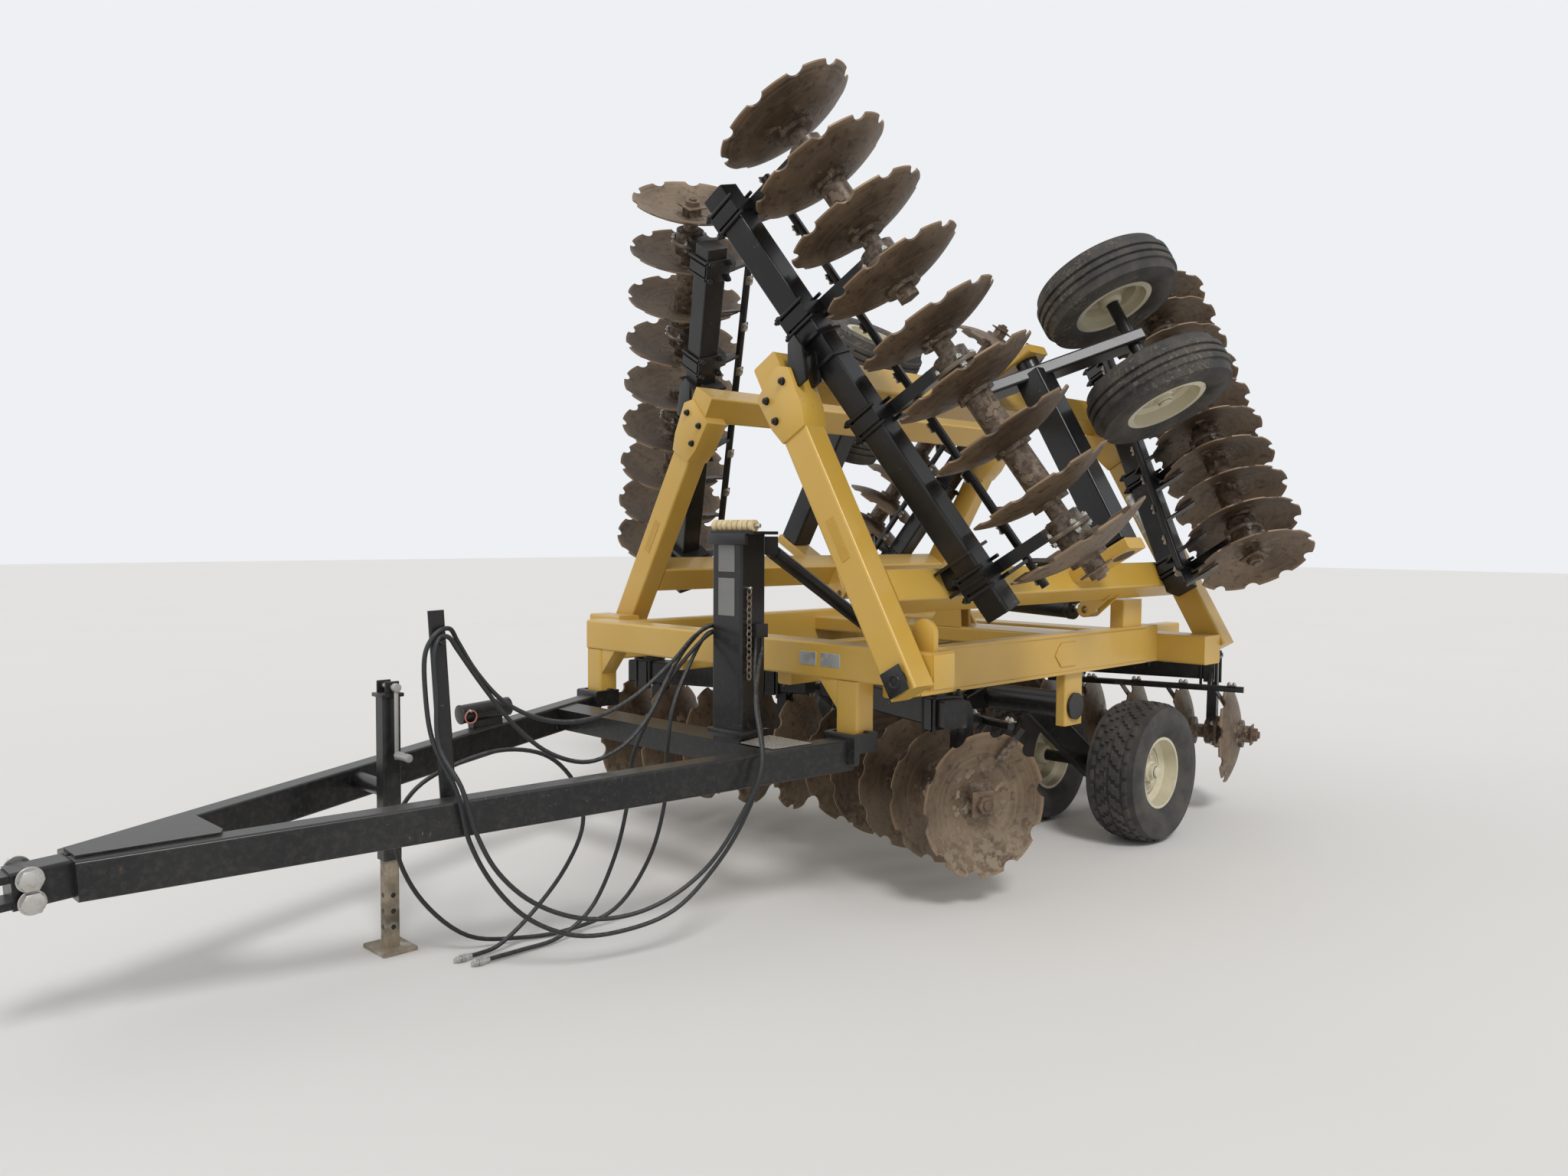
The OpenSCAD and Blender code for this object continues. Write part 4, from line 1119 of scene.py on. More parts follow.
@dataclass(frozen=True)
class Hoses:
    """The four hydraulic hoses in front of the mast, and the couplers that two of them end in.

    Routes are in millimetres, counted from the front legs, as the part's source has them.
    """

    radius: float = 0.009
    smooth: int = 6
    seat: float = 0.0003
    upper: HoseRoute = (
        (424, -290.3, 1282), (424, -306, 1282), (424, -345, 1280), (450, -460, 1240), (520, -640, 1150),
        (500, -820, 1020), (470, -1010, 945), (440, -1190, 950), (400, -1360, 1030), (382, -1480, 1160),
        (374, -1556, 1284), (398, -1600, 1334), (406, -1640, 1333), (404, -1672, 1307), (398, -1699, 1250),
        (400, -1702, 1110), (430, -1690, 930), (510, -1640, 750), (530, -1600, 560), (550, -1510, 380),
        (590, -1390, 240), (650, -1220, 150), (710, -1020, 140), (770, -830, 190), (820, -660, 340),
        (862, -540, 520), (898, -470, 740), (790, -400, 985), (672, -300, 1130), (648, -275, 1190),
        (648, -275, 1239.7),
    )
    lower: HoseRoute = (
        (400, -290.3, 1282), (400, -306, 1282), (400, -345, 1276), (420, -480, 1190), (500, -660, 1060),
        (515, -760, 930), (500, -880, 820), (470, -1030, 770), (440, -1190, 820), (410, -1330, 940),
        (392, -1462, 1110), (398, -1572, 1258), (402, -1607, 1303), (404, -1640, 1308), (408, -1656, 1291),
        (414, -1673, 1236), (430, -1674, 1110), (460, -1680, 910), (545, -1640, 770), (565, -1590, 590),
        (585, -1515, 440), (622, -1390, 310), (672, -1210, 220), (732, -1030, 205), (782, -860, 250),
        (832, -700, 360), (884, -580, 540), (925, -500, 740), (810, -425, 985), (690, -290, 1140),
        (652, -240, 1190), (652, -240, 1239.7),
    )
    short: HoseRoute = (
        (424, -290.3, 1254), (424, -306, 1254), (424, -350, 1244), (450, -560, 1100), (475, -720, 930),
        (450, -790, 760), (400, -780, 560), (360, -820, 320), (335, -930, 110), (322, -1080, 24),
        (320, -1250, 16), (320, -1360, 16), (320, -1400, 16),
    )
    looped: HoseRoute = (
        (400, -290.3, 1254), (400, -306, 1254), (400, -350, 1236), (420, -480, 1080), (440, -570, 930),
        (440, -600, 760), (410, -590, 520), (370, -650, 270), (320, -790, 80), (255, -980, 18),
        (200, -1190, 20), (165, -1400, 70), (150, -1590, 250), (150, -1690, 450), (160, -1700, 590),
        (190, -1630, 710), (220, -1480, 785), (250, -1270, 820), (280, -1090, 770), (300, -970, 630),
        (300, -940, 470), (290, -1020, 300), (268, -1190, 120), (246, -1320, 28), (238, -1390, 16),
        (238, -1430, 16),
    )

    def line(self, route: HoseRoute) -> list[Vector]:
        """Returns a smooth line through a route's points.

        Args:
            route: the points.

        Returns:
            The line's points.
        """
        points = [at(*p) for p in route]
        line = []
        for i in range(len(points) - 1):
            before = points[max(i - 1, 0)]
            a, b = points[i], points[i + 1]
            after = points[min(i + 2, len(points) - 1)]
            for step in range(self.smooth):
                t = step / self.smooth
                line.append(self._between(before, a, b, after, t))
        line.append(points[-1])
        return line

    @staticmethod
    def _between(p: Vector, a: Vector, b: Vector, q: Vector, t: float) -> Vector:
        """Returns a place on the centripetal curve from a to b, between p before and q after.

        Args:
            p: the point before a.
            a: where the piece of curve starts.
            b: where it ends.
            q: the point after b.
            t: how far along it, from 0 to 1.

        Returns:
            The place.
        """
        gaps = [max((v - u).length, 1e-6) ** 0.5 for u, v in ((p, a), (a, b), (b, q))]
        if (p - a).length < 1e-9:
            gaps[0] = gaps[1]
        if (q - b).length < 1e-9:
            gaps[2] = gaps[1]
        start = ((a - p) / gaps[0] - (b - p) / (gaps[0] + gaps[1]) + (b - a) / gaps[1]) * gaps[1]
        stop = ((b - a) / gaps[1] - (q - a) / (gaps[1] + gaps[2]) + (q - b) / gaps[2]) * gaps[1]
        if (p - a).length < 1e-9:
            start = b - a
        if (q - b).length < 1e-9:
            stop = b - a
        square, cube = t * t, t * t * t
        return (
            a * (2 * cube - 3 * square + 1) + start * (cube - 2 * square + t)
            + b * (3 * square - 2 * cube) + stop * (cube - square)
        )

    def hose(self, name: str, route: HoseRoute, palette: Palette) -> tuple[Piece, list[Vector], float]:
        """Makes one hose as a round curve.

        Args:
            name: the hose's name, which is also its node's with a prefix.
            route: its points.
            palette: the finishes.

        Returns:
            The hose, its line and its length.
        """
        line = self.line(route)
        curve = bpy.data.curves.new(name, "CURVE")
        curve.dimensions = "3D"
        curve.bevel_depth = self.radius
        curve.bevel_resolution = 3
        curve.use_fill_caps = True
        spline = curve.splines.new("POLY")
        spline.points.add(len(line) - 1)
        for point, place in zip(spline.points, line):
            point.co = (*place, 1.0)
        obj = bpy.data.objects.new(name, curve)
        bpy.context.scene.collection.objects.link(obj)
        curve.materials.append(palette.hose)
        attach(obj, "tongue")
        length = sum((b - a).length for a, b in zip(line, line[1:]))
        return obj, line, length

    def coupler(self, name: str, route: HoseRoute, palette: Palette) -> Piece:
        """Makes a hose's quick coupler, lying at the route's end, with its crimped sleeve and dust ring.

        Args:
            name: its name.
            route: the hose's points.
            palette: the finishes.

        Returns:
            The coupler.
        """
        profile = (
            (0.0, 0.0), (0.0, 0.0118), (0.016, 0.0118), (0.017, 0.0135), (0.030, 0.0135), (0.031, 0.0148),
            (0.046, 0.0148), (0.047, 0.0108), (0.051, 0.0108), (0.052, 0.0130), (0.062, 0.0130),
            (0.0635, 0.0088), (0.0735, 0.0084), (0.0748, 0.0070), (0.0748, 0.0),
        )
        body = Shop.lathe(profile, 24, "X", closed=False)
        band = Shop.hexagon(0.0150, 0.018, 0.029)
        end = at(*route[-1]) + Vector((0, -self.seat, 0))
        placed = Shop.put(Shop.join(name, [body, band]), aligned(end, Vector((0, -1, 0))))
        piece = Shop.fit(name, [placed], "tongue", "hose", palette.bright)
        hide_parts("hose_couplers")
        return piece

    def build(self, palette: Palette) -> None:
        """Args:
            palette: the finishes.
        """
        for name, route in (("upper", self.upper), ("lower", self.lower)):
            obj, line, length = self.hose(f"hydraulic_hose_{name}", route, palette)
            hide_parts(f"hose_{name}")
            LOG.info("%s hose: %.3f m", name, length)
        for name, route in (("short", self.short), ("looped", self.looped)):
            obj, line, length = self.hose(f"hydraulic_hose_{name}", route, palette)
            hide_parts(f"hose_{name}")
            tip = self.coupler(f"coupler_{name}", route, palette)
            LOG.info("%s hose: %.3f m", name, length)


# Wheels


class Tread(Enum):
    """The two kinds of tread on the machine, with where their strips end across the tyre."""

    LUGS = (-0.88, -0.70, -0.52, -0.46, -0.30, -0.14, -0.035, 0.035, 0.14, 0.30, 0.46, 0.52, 0.70, 0.88)
    RIBS = (-0.88, -0.60, -0.51, -0.23, -0.14, 0.14, 0.23, 0.51, 0.60, 0.88)


@dataclass(frozen=True)
class Wheel:
    """One kind of wheel: its tyre, its dished rim and its hub."""

    name: str
    tread: Tread
    radius: float
    width: float
    bead: float
    rim_width: float
    hub_radius: float = 0.062
    hub_length: float = 0.170
    studs: int = 8
    steps: int = 80
    tread_depth: float = 0.014
    shoulder: float = 0.945

    def tyre(self) -> Piece:
        """Makes the tyre about X: a spun carcass whose tread is cut into blocks or ribs.

        Returns:
            The tyre.
        """
        r, w = self.radius, self.width / 2
        crown = r - self.tread_depth
        shoulder = r * self.shoulder
        wall = (
            (-0.60 * w, self.bead - 0.004), (-0.76 * w, self.bead + 0.004), (-0.80 * w, self.bead + 0.020),
            (-0.90 * w, self.bead + 0.034), (-0.985 * w, self.bead + 0.36 * (r - self.bead)),
            (-1.0 * w, self.bead + 0.50 * (r - self.bead)), (-0.985 * w, self.bead + 0.64 * (r - self.bead)),
            (-0.95 * w, self.bead + 0.70 * (r - self.bead)), (-0.94 * w, self.bead + 0.76 * (r - self.bead)),
            (-0.92 * w, shoulder - 0.004),
        )
        across = [x * w for x in self.tread.value]
        top = [(x, crown - 0.018 * (abs(x) / w) ** 3) for x in across]
        other = [(-x, rr) for x, rr in reversed(wall)]
        inner = ((0.58 * w, self.bead - 0.004), (-0.58 * w, self.bead - 0.004))
        obj = Shop.lathe([*wall, *top, *other, *inner], self.steps, "X")
        if self.tread is Tread.RIBS:
            self._ribs(obj, across, crown)
        else:
            self._lugs(obj, across, crown)
        return Shop.bevel(obj, 0.0022, 1, 40)

    def _band(self, across: Sequence[float], centre: Vector) -> int:
        """Returns which strip of the tread a face is in, or -1 off the tread.

        Args:
            across: where the strips end.
            centre: the face's middle.

        Returns:
            The strip's number, or -1.
        """
        if math.hypot(centre.y, centre.z) < self.radius * self.shoulder:
            return -1
        for i, (low, high) in enumerate(zip(across, across[1:])):
            if low < centre.x < high:
                return i
        return -1

    def _ribs(self, obj: Piece, across: Sequence[float], crown: float) -> None:
        """Raises every second strip of the tread into a rib."""
        Shop.edit(
            obj, "FACE", lambda c, n: self._band(across, c) % 2 == 0 and self._band(across, c) >= 0,
            Shop.inset(self.radius - crown, 0.0028),
        )

    def _lugs(self, obj: Piece, across: Sequence[float], crown: float) -> None:
        """Raises blocks that run back from the middle of the tread to both shoulders.

        Args:
            obj: the tyre.
            across: where the strips end.
            crown: the tread's radius before it is raised.
        """
        step = math.tau / self.steps

        def raised(centre: Vector, _: Vector) -> bool:
            """Says whether a face is on a block.

            Args:
                centre: the face's middle.
                _: its normal, which isn't needed.

            Returns:
                Whether it is.
            """
            band = self._band(across, centre)
            if band in (-1, 2, 6, 10):
                return False
            turn = round((math.atan2(centre.z, centre.y) / step) - 0.5)
            lean = abs(band - 6)
            shift = 0 if band < 6 else 2
            return (turn - lean + shift) % 4 > 0

        Shop.edit(obj, "FACE", raised, Shop.inset(self.radius - crown, 0.0030))

    def rim(self) -> Piece:
        """Makes the rim about X: flanges, drop centre and a dished plate.

        Returns:
            The rim.
        """
        b, w = self.bead, self.rim_width / 2
        skin = 0.006
        ring = (
            (-w, b + 0.020), (-w + 0.006, b + 0.020), (-w + 0.010, b - 0.004), (-0.62 * w, b - 0.006),
            (-0.50 * w, b - 0.040), (0.20 * w, b - 0.040), (0.36 * w, b - 0.006), (w - 0.010, b - 0.004),
            (w - 0.006, b + 0.020), (w, b + 0.020), (w, b - 0.010), (w - 0.020, b - 0.010),
            (0.36 * w, b - 0.012), (0.20 * w, b - 0.046), (-0.50 * w, b - 0.046), (-0.62 * w, b - 0.012),
            (-w + 0.020, b - 0.010), (-w, b - 0.010),
        )
        barrel = Shop.lathe(ring, 64, "X")
        edge = b - 0.044
        dish = (
            (0.10 * w, edge), (0.16 * w, edge - 0.006), (0.22 * w, edge - 0.030), (0.24 * w, 0.66 * b),
            (0.12 * w, 0.58 * b), (0.06 * w, 0.52 * b), (0.06 * w, 0.040),
            (0.06 * w - skin, 0.040), (0.06 * w - skin, 0.52 * b), (0.12 * w - skin, 0.59 * b),
            (0.24 * w - skin, 0.67 * b), (0.22 * w - skin, edge - 0.032), (0.10 * w - skin, edge - 0.004),
        )
        plate = Shop.lathe(dish, 64, "X")
        return Shop.join("rim", [barrel, Shop.bevel(plate, 0.0015, 1, 50)])

    def hub(self, outward: int) -> Piece:
        """Makes the hub about X, with its cap, flange and wheel bolts on the outward side.

        Args:
            outward: 1, or -1 where the hub is turned round.

        Returns:
            The hub.
        """
        face = 0.06 * self.rim_width / 2
        half = self.hub_length / 2
        profile = (
            (-half, 0.033), (-half, self.hub_radius * 0.80), (-half + 0.020, self.hub_radius),
            (-0.012, self.hub_radius), (-0.012, self.bead * 0.50), (0.0, self.bead * 0.50),
            (face - 0.002, self.bead * 0.50), (face + 0.010, self.hub_radius),
            (half - 0.030, self.hub_radius * 0.92),
            (half - 0.024, self.hub_radius * 0.74), (half - 0.004, self.hub_radius * 0.66), (half, 0.033),
        )
        pieces = [Shop.bevel(Shop.lathe(profile, 40, "X"), 0.002, 1, 50)]
        pieces.append(Shop.bevel(Shop.cylinder(0.031, half - 0.012, half + 0.012, 24), 0.006, 3))
        stud = Shop.bolt(0.008, 0.014, 0.012)
        ring = 0.41 * self.bead
        spots = []
        for i in range(self.studs):
            angle = math.tau * (i + 0.5) / self.studs
            spots.append(UPRIGHT.shifted(face + 0.0005, ring * math.cos(angle), ring * math.sin(angle)))
        pieces.extend(Shop.spread(stud, spots))
        hub = Shop.join("hub", pieces)
        if outward < 0:
            hub.data.transform(Matrix.Rotation(math.pi, 4, "Z"))
        return hub


@dataclass(frozen=True)
class WheelSet:
    """The two pairs of wheels of one kind, each pair on one shaft.

    The main axle's place is in millimetres.
    """

    wheel: Wheel
    body: str
    tyre_node: str
    rim_node: str
    axle_y: float = 2211
    axle_z: float = 387
    outer_x: float = 1165
    inner_x: float = 470
    wing_u: float = 1.440
    wing_v: float = 2.000
    apart: float = 0.310

    def frames(self, side: Side) -> list[Frame]:
        """Returns the frames of a side's two wheels, X along the axle and outward on the first.

        Args:
            side: the machine's side.

        Returns:
            The outer wheel's frame and the inner one's.
        """
        s = side.value
        if self.body == "main_wheels":
            return [
                upright(at(s * x, self.axle_y, self.axle_z)) for x in (self.outer_x, self.inner_x)
            ]
        base = LAYOUT.wing(side)
        drop = -(LAYOUT.hinge_z - self.wheel.radius)
        spots = [base.shifted(self.wing_u + off, self.wing_v, drop) for off in (self.apart, -self.apart)]
        return [spot.flipped(y=s) for spot in spots]

    def build(self, palette: Palette) -> None:
        """Makes the tyres, rims and hubs of both sides.

        Args:
            palette: the finishes.
        """
        wing = self.body != "main_wheels"
        tyre, rim = self.wheel.tyre(), self.wheel.rim()
        hubs = {way: self.wheel.hub(way) for way in (1, -1)}
        for side in Side:
            spots = self.frames(side)
            body = f"{self.body}_{side.word}"
            ways = (1, -1) if wing else (side.value, -side.value)
            made = [Shop.copy(tyre, spot) for spot in spots]
            name = f"{self.wheel.name}_tyres_{side.word}"
            tyres = Shop.fit(name, made, body, "tyre", palette.muddy if wing else palette.rubber)
            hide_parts(f"{self.tyre_node}_{side.word}")
            made = [Shop.copy(rim, spot.flipped(way, way)) for spot, way in zip(spots, ways)]
            rims = Shop.fit(f"{self.wheel.name}_rims_{side.word}", made, body, "rim", palette.cream)
            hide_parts(f"{self.rim_node}_{side.word}")
            made = [Shop.copy(hubs[way], spot) for spot, way in zip(spots, ways)]
            Shop.fit(f"{self.wheel.name}_hubs_{side.word}", made, body, "rim", palette.cream)
        Shop.drop(tyre, rim, *hubs.values())


# Hardware


@dataclass(frozen=True)
class GangHardware:
    """Clamps, bolts and brackets on one gang's beam, and the nuts on its shaft."""

    gang: Gang
    beam: float = 0.127
    bolt: float = 0.0085
    bolt_circle: float = 0.087
    bearing_bolts: int = 4

    def clamps(self, palette: Palette) -> None:
        """Adds a clamp plate with two U-bolts over the beam at each bearing.

        Args:
            palette: the finishes.
        """
        gang = self.gang
        half = self.beam / 2
        plate = Shop.bevel(Shop.block((0.120, 0.150, 0.014), (0, 0, half + 0.0068)), 0.003, 2)
        leg = Shop.cylinder(self.bolt, -half - 0.030, half + 0.004, 12, "Z")
        nut = Shop.bolt(self.bolt, 0.013, 0.014, "Z")
        plates, bolts = [], []
        for i in gang.bearings:
            spot = gang.beam.shifted(gang.disc_x(i) + gang.pitch / 2 + gang.dish * 0.032, 0, 0)
            plates.append(Shop.copy(plate, spot))
            for x in (-0.045, 0.045):
                for y in (-half - 0.0095, half + 0.0095):
                    bolts.append(Shop.copy(nut, spot.shifted(x, y * 0.82, half + 0.0133)))
                    bolts.append(Shop.copy(leg, spot.shifted(x, y, 0)))
        Shop.drop(plate, leg, nut)
        self._done("clamp_plates", plates, palette.black)
        self._done("clamp_bolts", bolts, palette.black)

    def bearings(self, palette: Palette) -> None:
        """Adds the two cast halves' flanges and their bolts round each bearing.

        Args:
            palette: the finishes.
        """
        gang = self.gang
        disc = (
            (-0.012, 0.060), (-0.012, 0.094), (-0.008, 0.098),
            (0.008, 0.098), (0.012, 0.094), (0.012, 0.060),
        )
        flange = Shop.bevel(Shop.lathe(disc, 32), 0.002, 1)
        ring = ((-0.006, 0.046), (-0.006, 0.062), (0.0, 0.068), (0.010, 0.070), (0.010, 0.046))
        lip = Shop.lathe(ring, 32)
        bolt = Shop.bolt(0.008, 0.012, 0.008)
        flanges, bolts = [], []
        for i in gang.bearings:
            spot = gang.shaft.shifted(gang.disc_x(i) + gang.pitch / 2, 0, 0)
            flanges.append(Shop.copy(flange, spot))
            for way in (-1, 1):
                turned = spot.flipped(way)
                flanges.append(Shop.copy(lip, turned.shifted(0.060, 0, 0)))
                for k in range(self.bearing_bolts):
                    angle = math.tau * (k + 0.5) / self.bearing_bolts
                    y, z = self.bolt_circle * math.cos(angle), self.bolt_circle * math.sin(angle)
                    place = turned.shifted(0.0118, y, z)
                    bolts.append(Shop.copy(bolt, place))
        Shop.drop(flange, lip, bolt)
        self._done("bearing_flanges", flanges, palette.bolt)
        self._done("bearing_bolts", bolts, palette.bright)

    def nuts(self, palette: Palette) -> None:
        """Adds the washer, nut and stud at each end of the shaft, which turn with the discs.

        Args:
            palette: the finishes.
        """
        gang = self.gang
        for end, way in ((0, -1), (gang.count - 1, 1)):
            washer = Shop.bevel(Shop.block((0.010, 0.118, 0.118), (0.0625, 0, 0)), 0.003, 2)
            nut = Shop.hexagon(0.043, 0.066, 0.092)
            stud = Shop.bevel(Shop.cylinder(0.022, 0.088, 0.108, 24), 0.003, 1)
            spot = gang.shaft.shifted(gang.disc_x(end), 0, 0)
            turned = spot.flipped(way)
            pieces = [Shop.put(piece, turned) for piece in (washer, nut, stud)]
            which = "inner" if end == 0 else "outer"
            body = f"{gang.name}_discs_{gang.side.word}"
            if gang.name == "wing_front":
                body = f"wing_front_{which}_discs_{gang.side.word}"
            name = f"{gang.name}_{which}_nut_{gang.side.word}"
            Shop.fit(name, pieces, body, "disc", palette.rust)

    def scraper_bolts(self, palette: Palette) -> None:
        """Adds a clip with two bolts at each scraper's bar.

        Args:
            palette: the finishes.
        """
        gang = self.gang
        y, z = (0.170, 0.338) if gang.front else (-0.232, 0.300)
        bolt = Shop.bolt(0.006, 0.009, 0.006, "Z")
        clip = Shop.bevel(Shop.block((0.050, 0.046, 0.007), (0, 0, 0.0215)), 0.0015, 1)
        bolts, clips = [], []
        for i in range(gang.count):
            spot = gang.shaft.shifted(gang.disc_x(i) + gang.dish * 0.028, y, z)
            clips.append(Shop.copy(clip, spot))
            for x in (-0.014, 0.014):
                bolts.append(Shop.copy(bolt, spot.shifted(x, 0, 0.0248)))
        Shop.drop(bolt, clip)
        self._done("scraper_clips", clips, palette.bolt)
        self._done("scraper_bolts", bolts, palette.bright)

    def _done(self, what: str, pieces: list[Piece], finish: Finish) -> None:
        """Joins pieces and lets them ride with the gang's beam."""
        gang = self.gang
        name = f"{gang.name}_{what}_{gang.side.word}"
        Shop.fit(name, pieces, gang.body, "black", finish)

    def build(self, palette: Palette) -> None:
        """Adds all of it.

        Args:
            palette: the finishes.
        """
        self.clamps(palette)
        self.bearings(palette)
        self.nuts(palette)
        self.scraper_bolts(palette)


@dataclass(frozen=True)
class WingHardware:
    """The heads, lugs, keepers and reflectors on a wing's front tube."""

    side: Side
    depth: float = 0.127
    length: float = 2.906

    def build(self, palette: Palette) -> None:
        """Adds all of it to one wing.

        Args:
            palette: the finishes.
        """
        word = self.side.word
        base = LAYOUT.wing(self.side)
        rear = base.shifted(0, self.length - self.depth, 0)
        head = (
            (1.18, -0.0755), (1.27, -0.104), (1.455, -0.118), (1.505, -0.060), (1.445, 0.118), (1.27, 0.104),
            (1.18, 0.0755),
        )
        heads = []
        for spot in (base, rear):
            block = Shop.bevel(Shop.outline(head, self.depth + 0.022, "XZ", -0.011), 0.007, 2)
            heads.append(Shop.put(block, spot))
        Shop.fit(f"strut_heads_{word}", heads, f"wing_{word}", "frame", palette.yellow)
        lug = (
            (1.36, -0.100), (1.47, -0.100), (1.56, -0.150), (1.57, -0.200), (1.50, -0.215), (1.36, -0.165),
        )
        plates = []
        for start in (0.010, 0.097):
            plate = Shop.bevel(Shop.outline(lug, 0.020, "XZ", start), 0.004, 2)
            plates.append(Shop.put(plate, base))
        Shop.fit(f"strut_lugs_{word}", plates, f"wing_{word}", "black", palette.black)
        bolt = Shop.bolt(0.008, 0.013, 0.008, "Y")
        places = []
        for u, w in ((1.42, -0.060), (1.40, 0.065), (1.29, 0.060)):
            places.append(base.shifted(u, -0.0108, w).flipped(y=-1))
        Shop.fit(f"strut_bolts_{word}", Shop.spread(bolt, places), f"wing_{word}", "black", palette.black)
        strip = Shop.bevel(Shop.block((0.200, 0.0024, 0.050), (0.66, -0.0009, 0.0)), 0.0008, 1)
        Shop.fit(f"reflector_{word}", [Shop.put(strip, base)], f"wing_{word}", "frame", palette.amber)
        self._keepers(base, rear, palette)
        if self.side is Side.LEFT:
            self._canister(rear, palette)

    def _canister(self, rear: Frame, palette: Palette) -> None:
        """Adds the grey tube for papers, in its bands, on the rear tube's front face.

        Args:
            rear: the rear tube's frame.
            palette: the finishes.
        """
        tube = Shop.bevel(Shop.cylinder(0.036, 0.700, 0.960, 36), 0.006, 2)
        pieces = [tube]
        for u in (0.722, 0.830, 0.938):
            low, high = u - 0.008, u + 0.008
            pieces.append(Shop.lathe(((low, 0.0355), (low, 0.0385), (high, 0.0385), (high, 0.0355)), 36))
        for u in (0.760, 0.900):
            pieces.append(Shop.bevel(Shop.block((0.030, 0.014, 0.060), (u, 0.033, 0)), 0.002, 1))
        placed = [Shop.put(piece, rear.shifted(0, -0.0395, 0)) for piece in pieces]
        Shop.fit("paper_tube", placed, f"wing_{self.side.word}", "frame", palette.plate)

    def _keepers(self, base: Frame, rear: Frame, palette: Palette) -> None:
        """Adds the plates over the ends of the hinge pins that stand clear of the frame.

        Args:
            base: the wing's frame.
            rear: the rear tube's frame.
            palette: the finishes.
        """
        word = self.side.word
        ends = [(rear, self.depth, 1)]
        if self.side is Side.LEFT:
            ends.append((base, 0.0, -1))
        pieces = []
        for spot, face, way in ends:
            skirt = Shop.lathe(((0.0, 0.037), (0.0, 0.052), (0.0145, 0.052), (0.0145, 0.037)), 32, "Y")
            plate = Shop.bevel(Shop.block((0.112, 0.008, 0.112), (0, 0.0180, 0)), 0.003, 2)
            ring = Shop.lathe(((0.0215, 0.018), (0.0215, 0.032), (0.026, 0.030), (0.026, 0.020)), 28, "Y")
            ring = Shop.bevel(ring, 0.001, 1)
            turned = spot.shifted(0, face, 0).flipped(y=way)
            pieces.extend(Shop.put(piece, turned) for piece in (skirt, plate, ring))
        Shop.fit(f"pin_keepers_{word}", pieces, f"wing_{word}", "black", palette.black)


@dataclass(frozen=True)
class FrameHardware:
    """Gussets, caps, plates and lugs on the yellow frame."""

    beam_low: float = 1.052
    leg_x: float = 0.936
    leg_half: float = 0.063

    def build(self, palette: Palette) -> None:
        """Adds all of it.

        Args:
            palette: the finishes.
        """
        front = upright(at(0, 0, 0))
        yellow = []
        for s in (1, -1):
            edge = s * (self.leg_x - self.leg_half + 0.002)
            low = self.beam_low + 0.002
            gusset = ((edge, low), (edge - s * 0.120, low), (edge, low - 0.135))
            yellow.append(Shop.bevel(Shop.outline(gusset, 0.096, "XZ", 0.008), 0.004, 2))
        for x, way in ((-1.0, -1), (1.400, 1)):
            end = Shop.block((0.010, 0.138, 0.144), (x + way * 0.0045, 0.076, 1.131))
            yellow.append(Shop.bevel(end, 0.003, 2))
        hoop = [(1.262, 1.205)]
        turns = [math.pi * (1 - k / 12) for k in range(13)]
        hoop.extend((1.322 + 0.060 * math.cos(a), 1.285 + 0.060 * math.sin(a)) for a in turns)
        hoop.append((1.382, 1.205))
        yellow.append(Shop.bevel(Shop.outline(hoop, 0.030, "XZ", 0.040), 0.005, 2))
        corners = ((-1, 0), (-0.55, 1), (0.55, 1), (1, 0), (0.55, -1), (-0.55, -1))
        patch = [(1.50 + 0.125 * a, 1.080 + 0.062 * b) for a, b in corners]
        for s in (1, -1):
            piece = Shop.bevel(Shop.outline(patch, 0.007, "YZ", 1.1155), 0.002, 1)
            if s < 0:
                piece = Shop.put(piece, UPRIGHT.flipped(-1))
            yellow.append(piece)
        for z in (1.180, 0.984):
            yellow.append(Shop.bevel(Shop.block((0.006, 2.02, 0.016), (1.1188, 1.30, z)), 0.002, 2))
        placed = [Shop.put(piece, front) for piece in yellow]
        Shop.fit("frame_gussets", placed, "frame", "frame", palette.yellow)
        plates = []
        for x, wide in ((0.700, 0.105), (0.838, 0.118)):
            plate = Shop.bevel(Shop.block((wide, 0.0026, 0.062), (x, -0.0010, 1.135)), 0.001, 1)
            plates.append(Shop.put(plate, front))
        Shop.fit("blank_plates", plates, "frame", "frame", palette.plate)


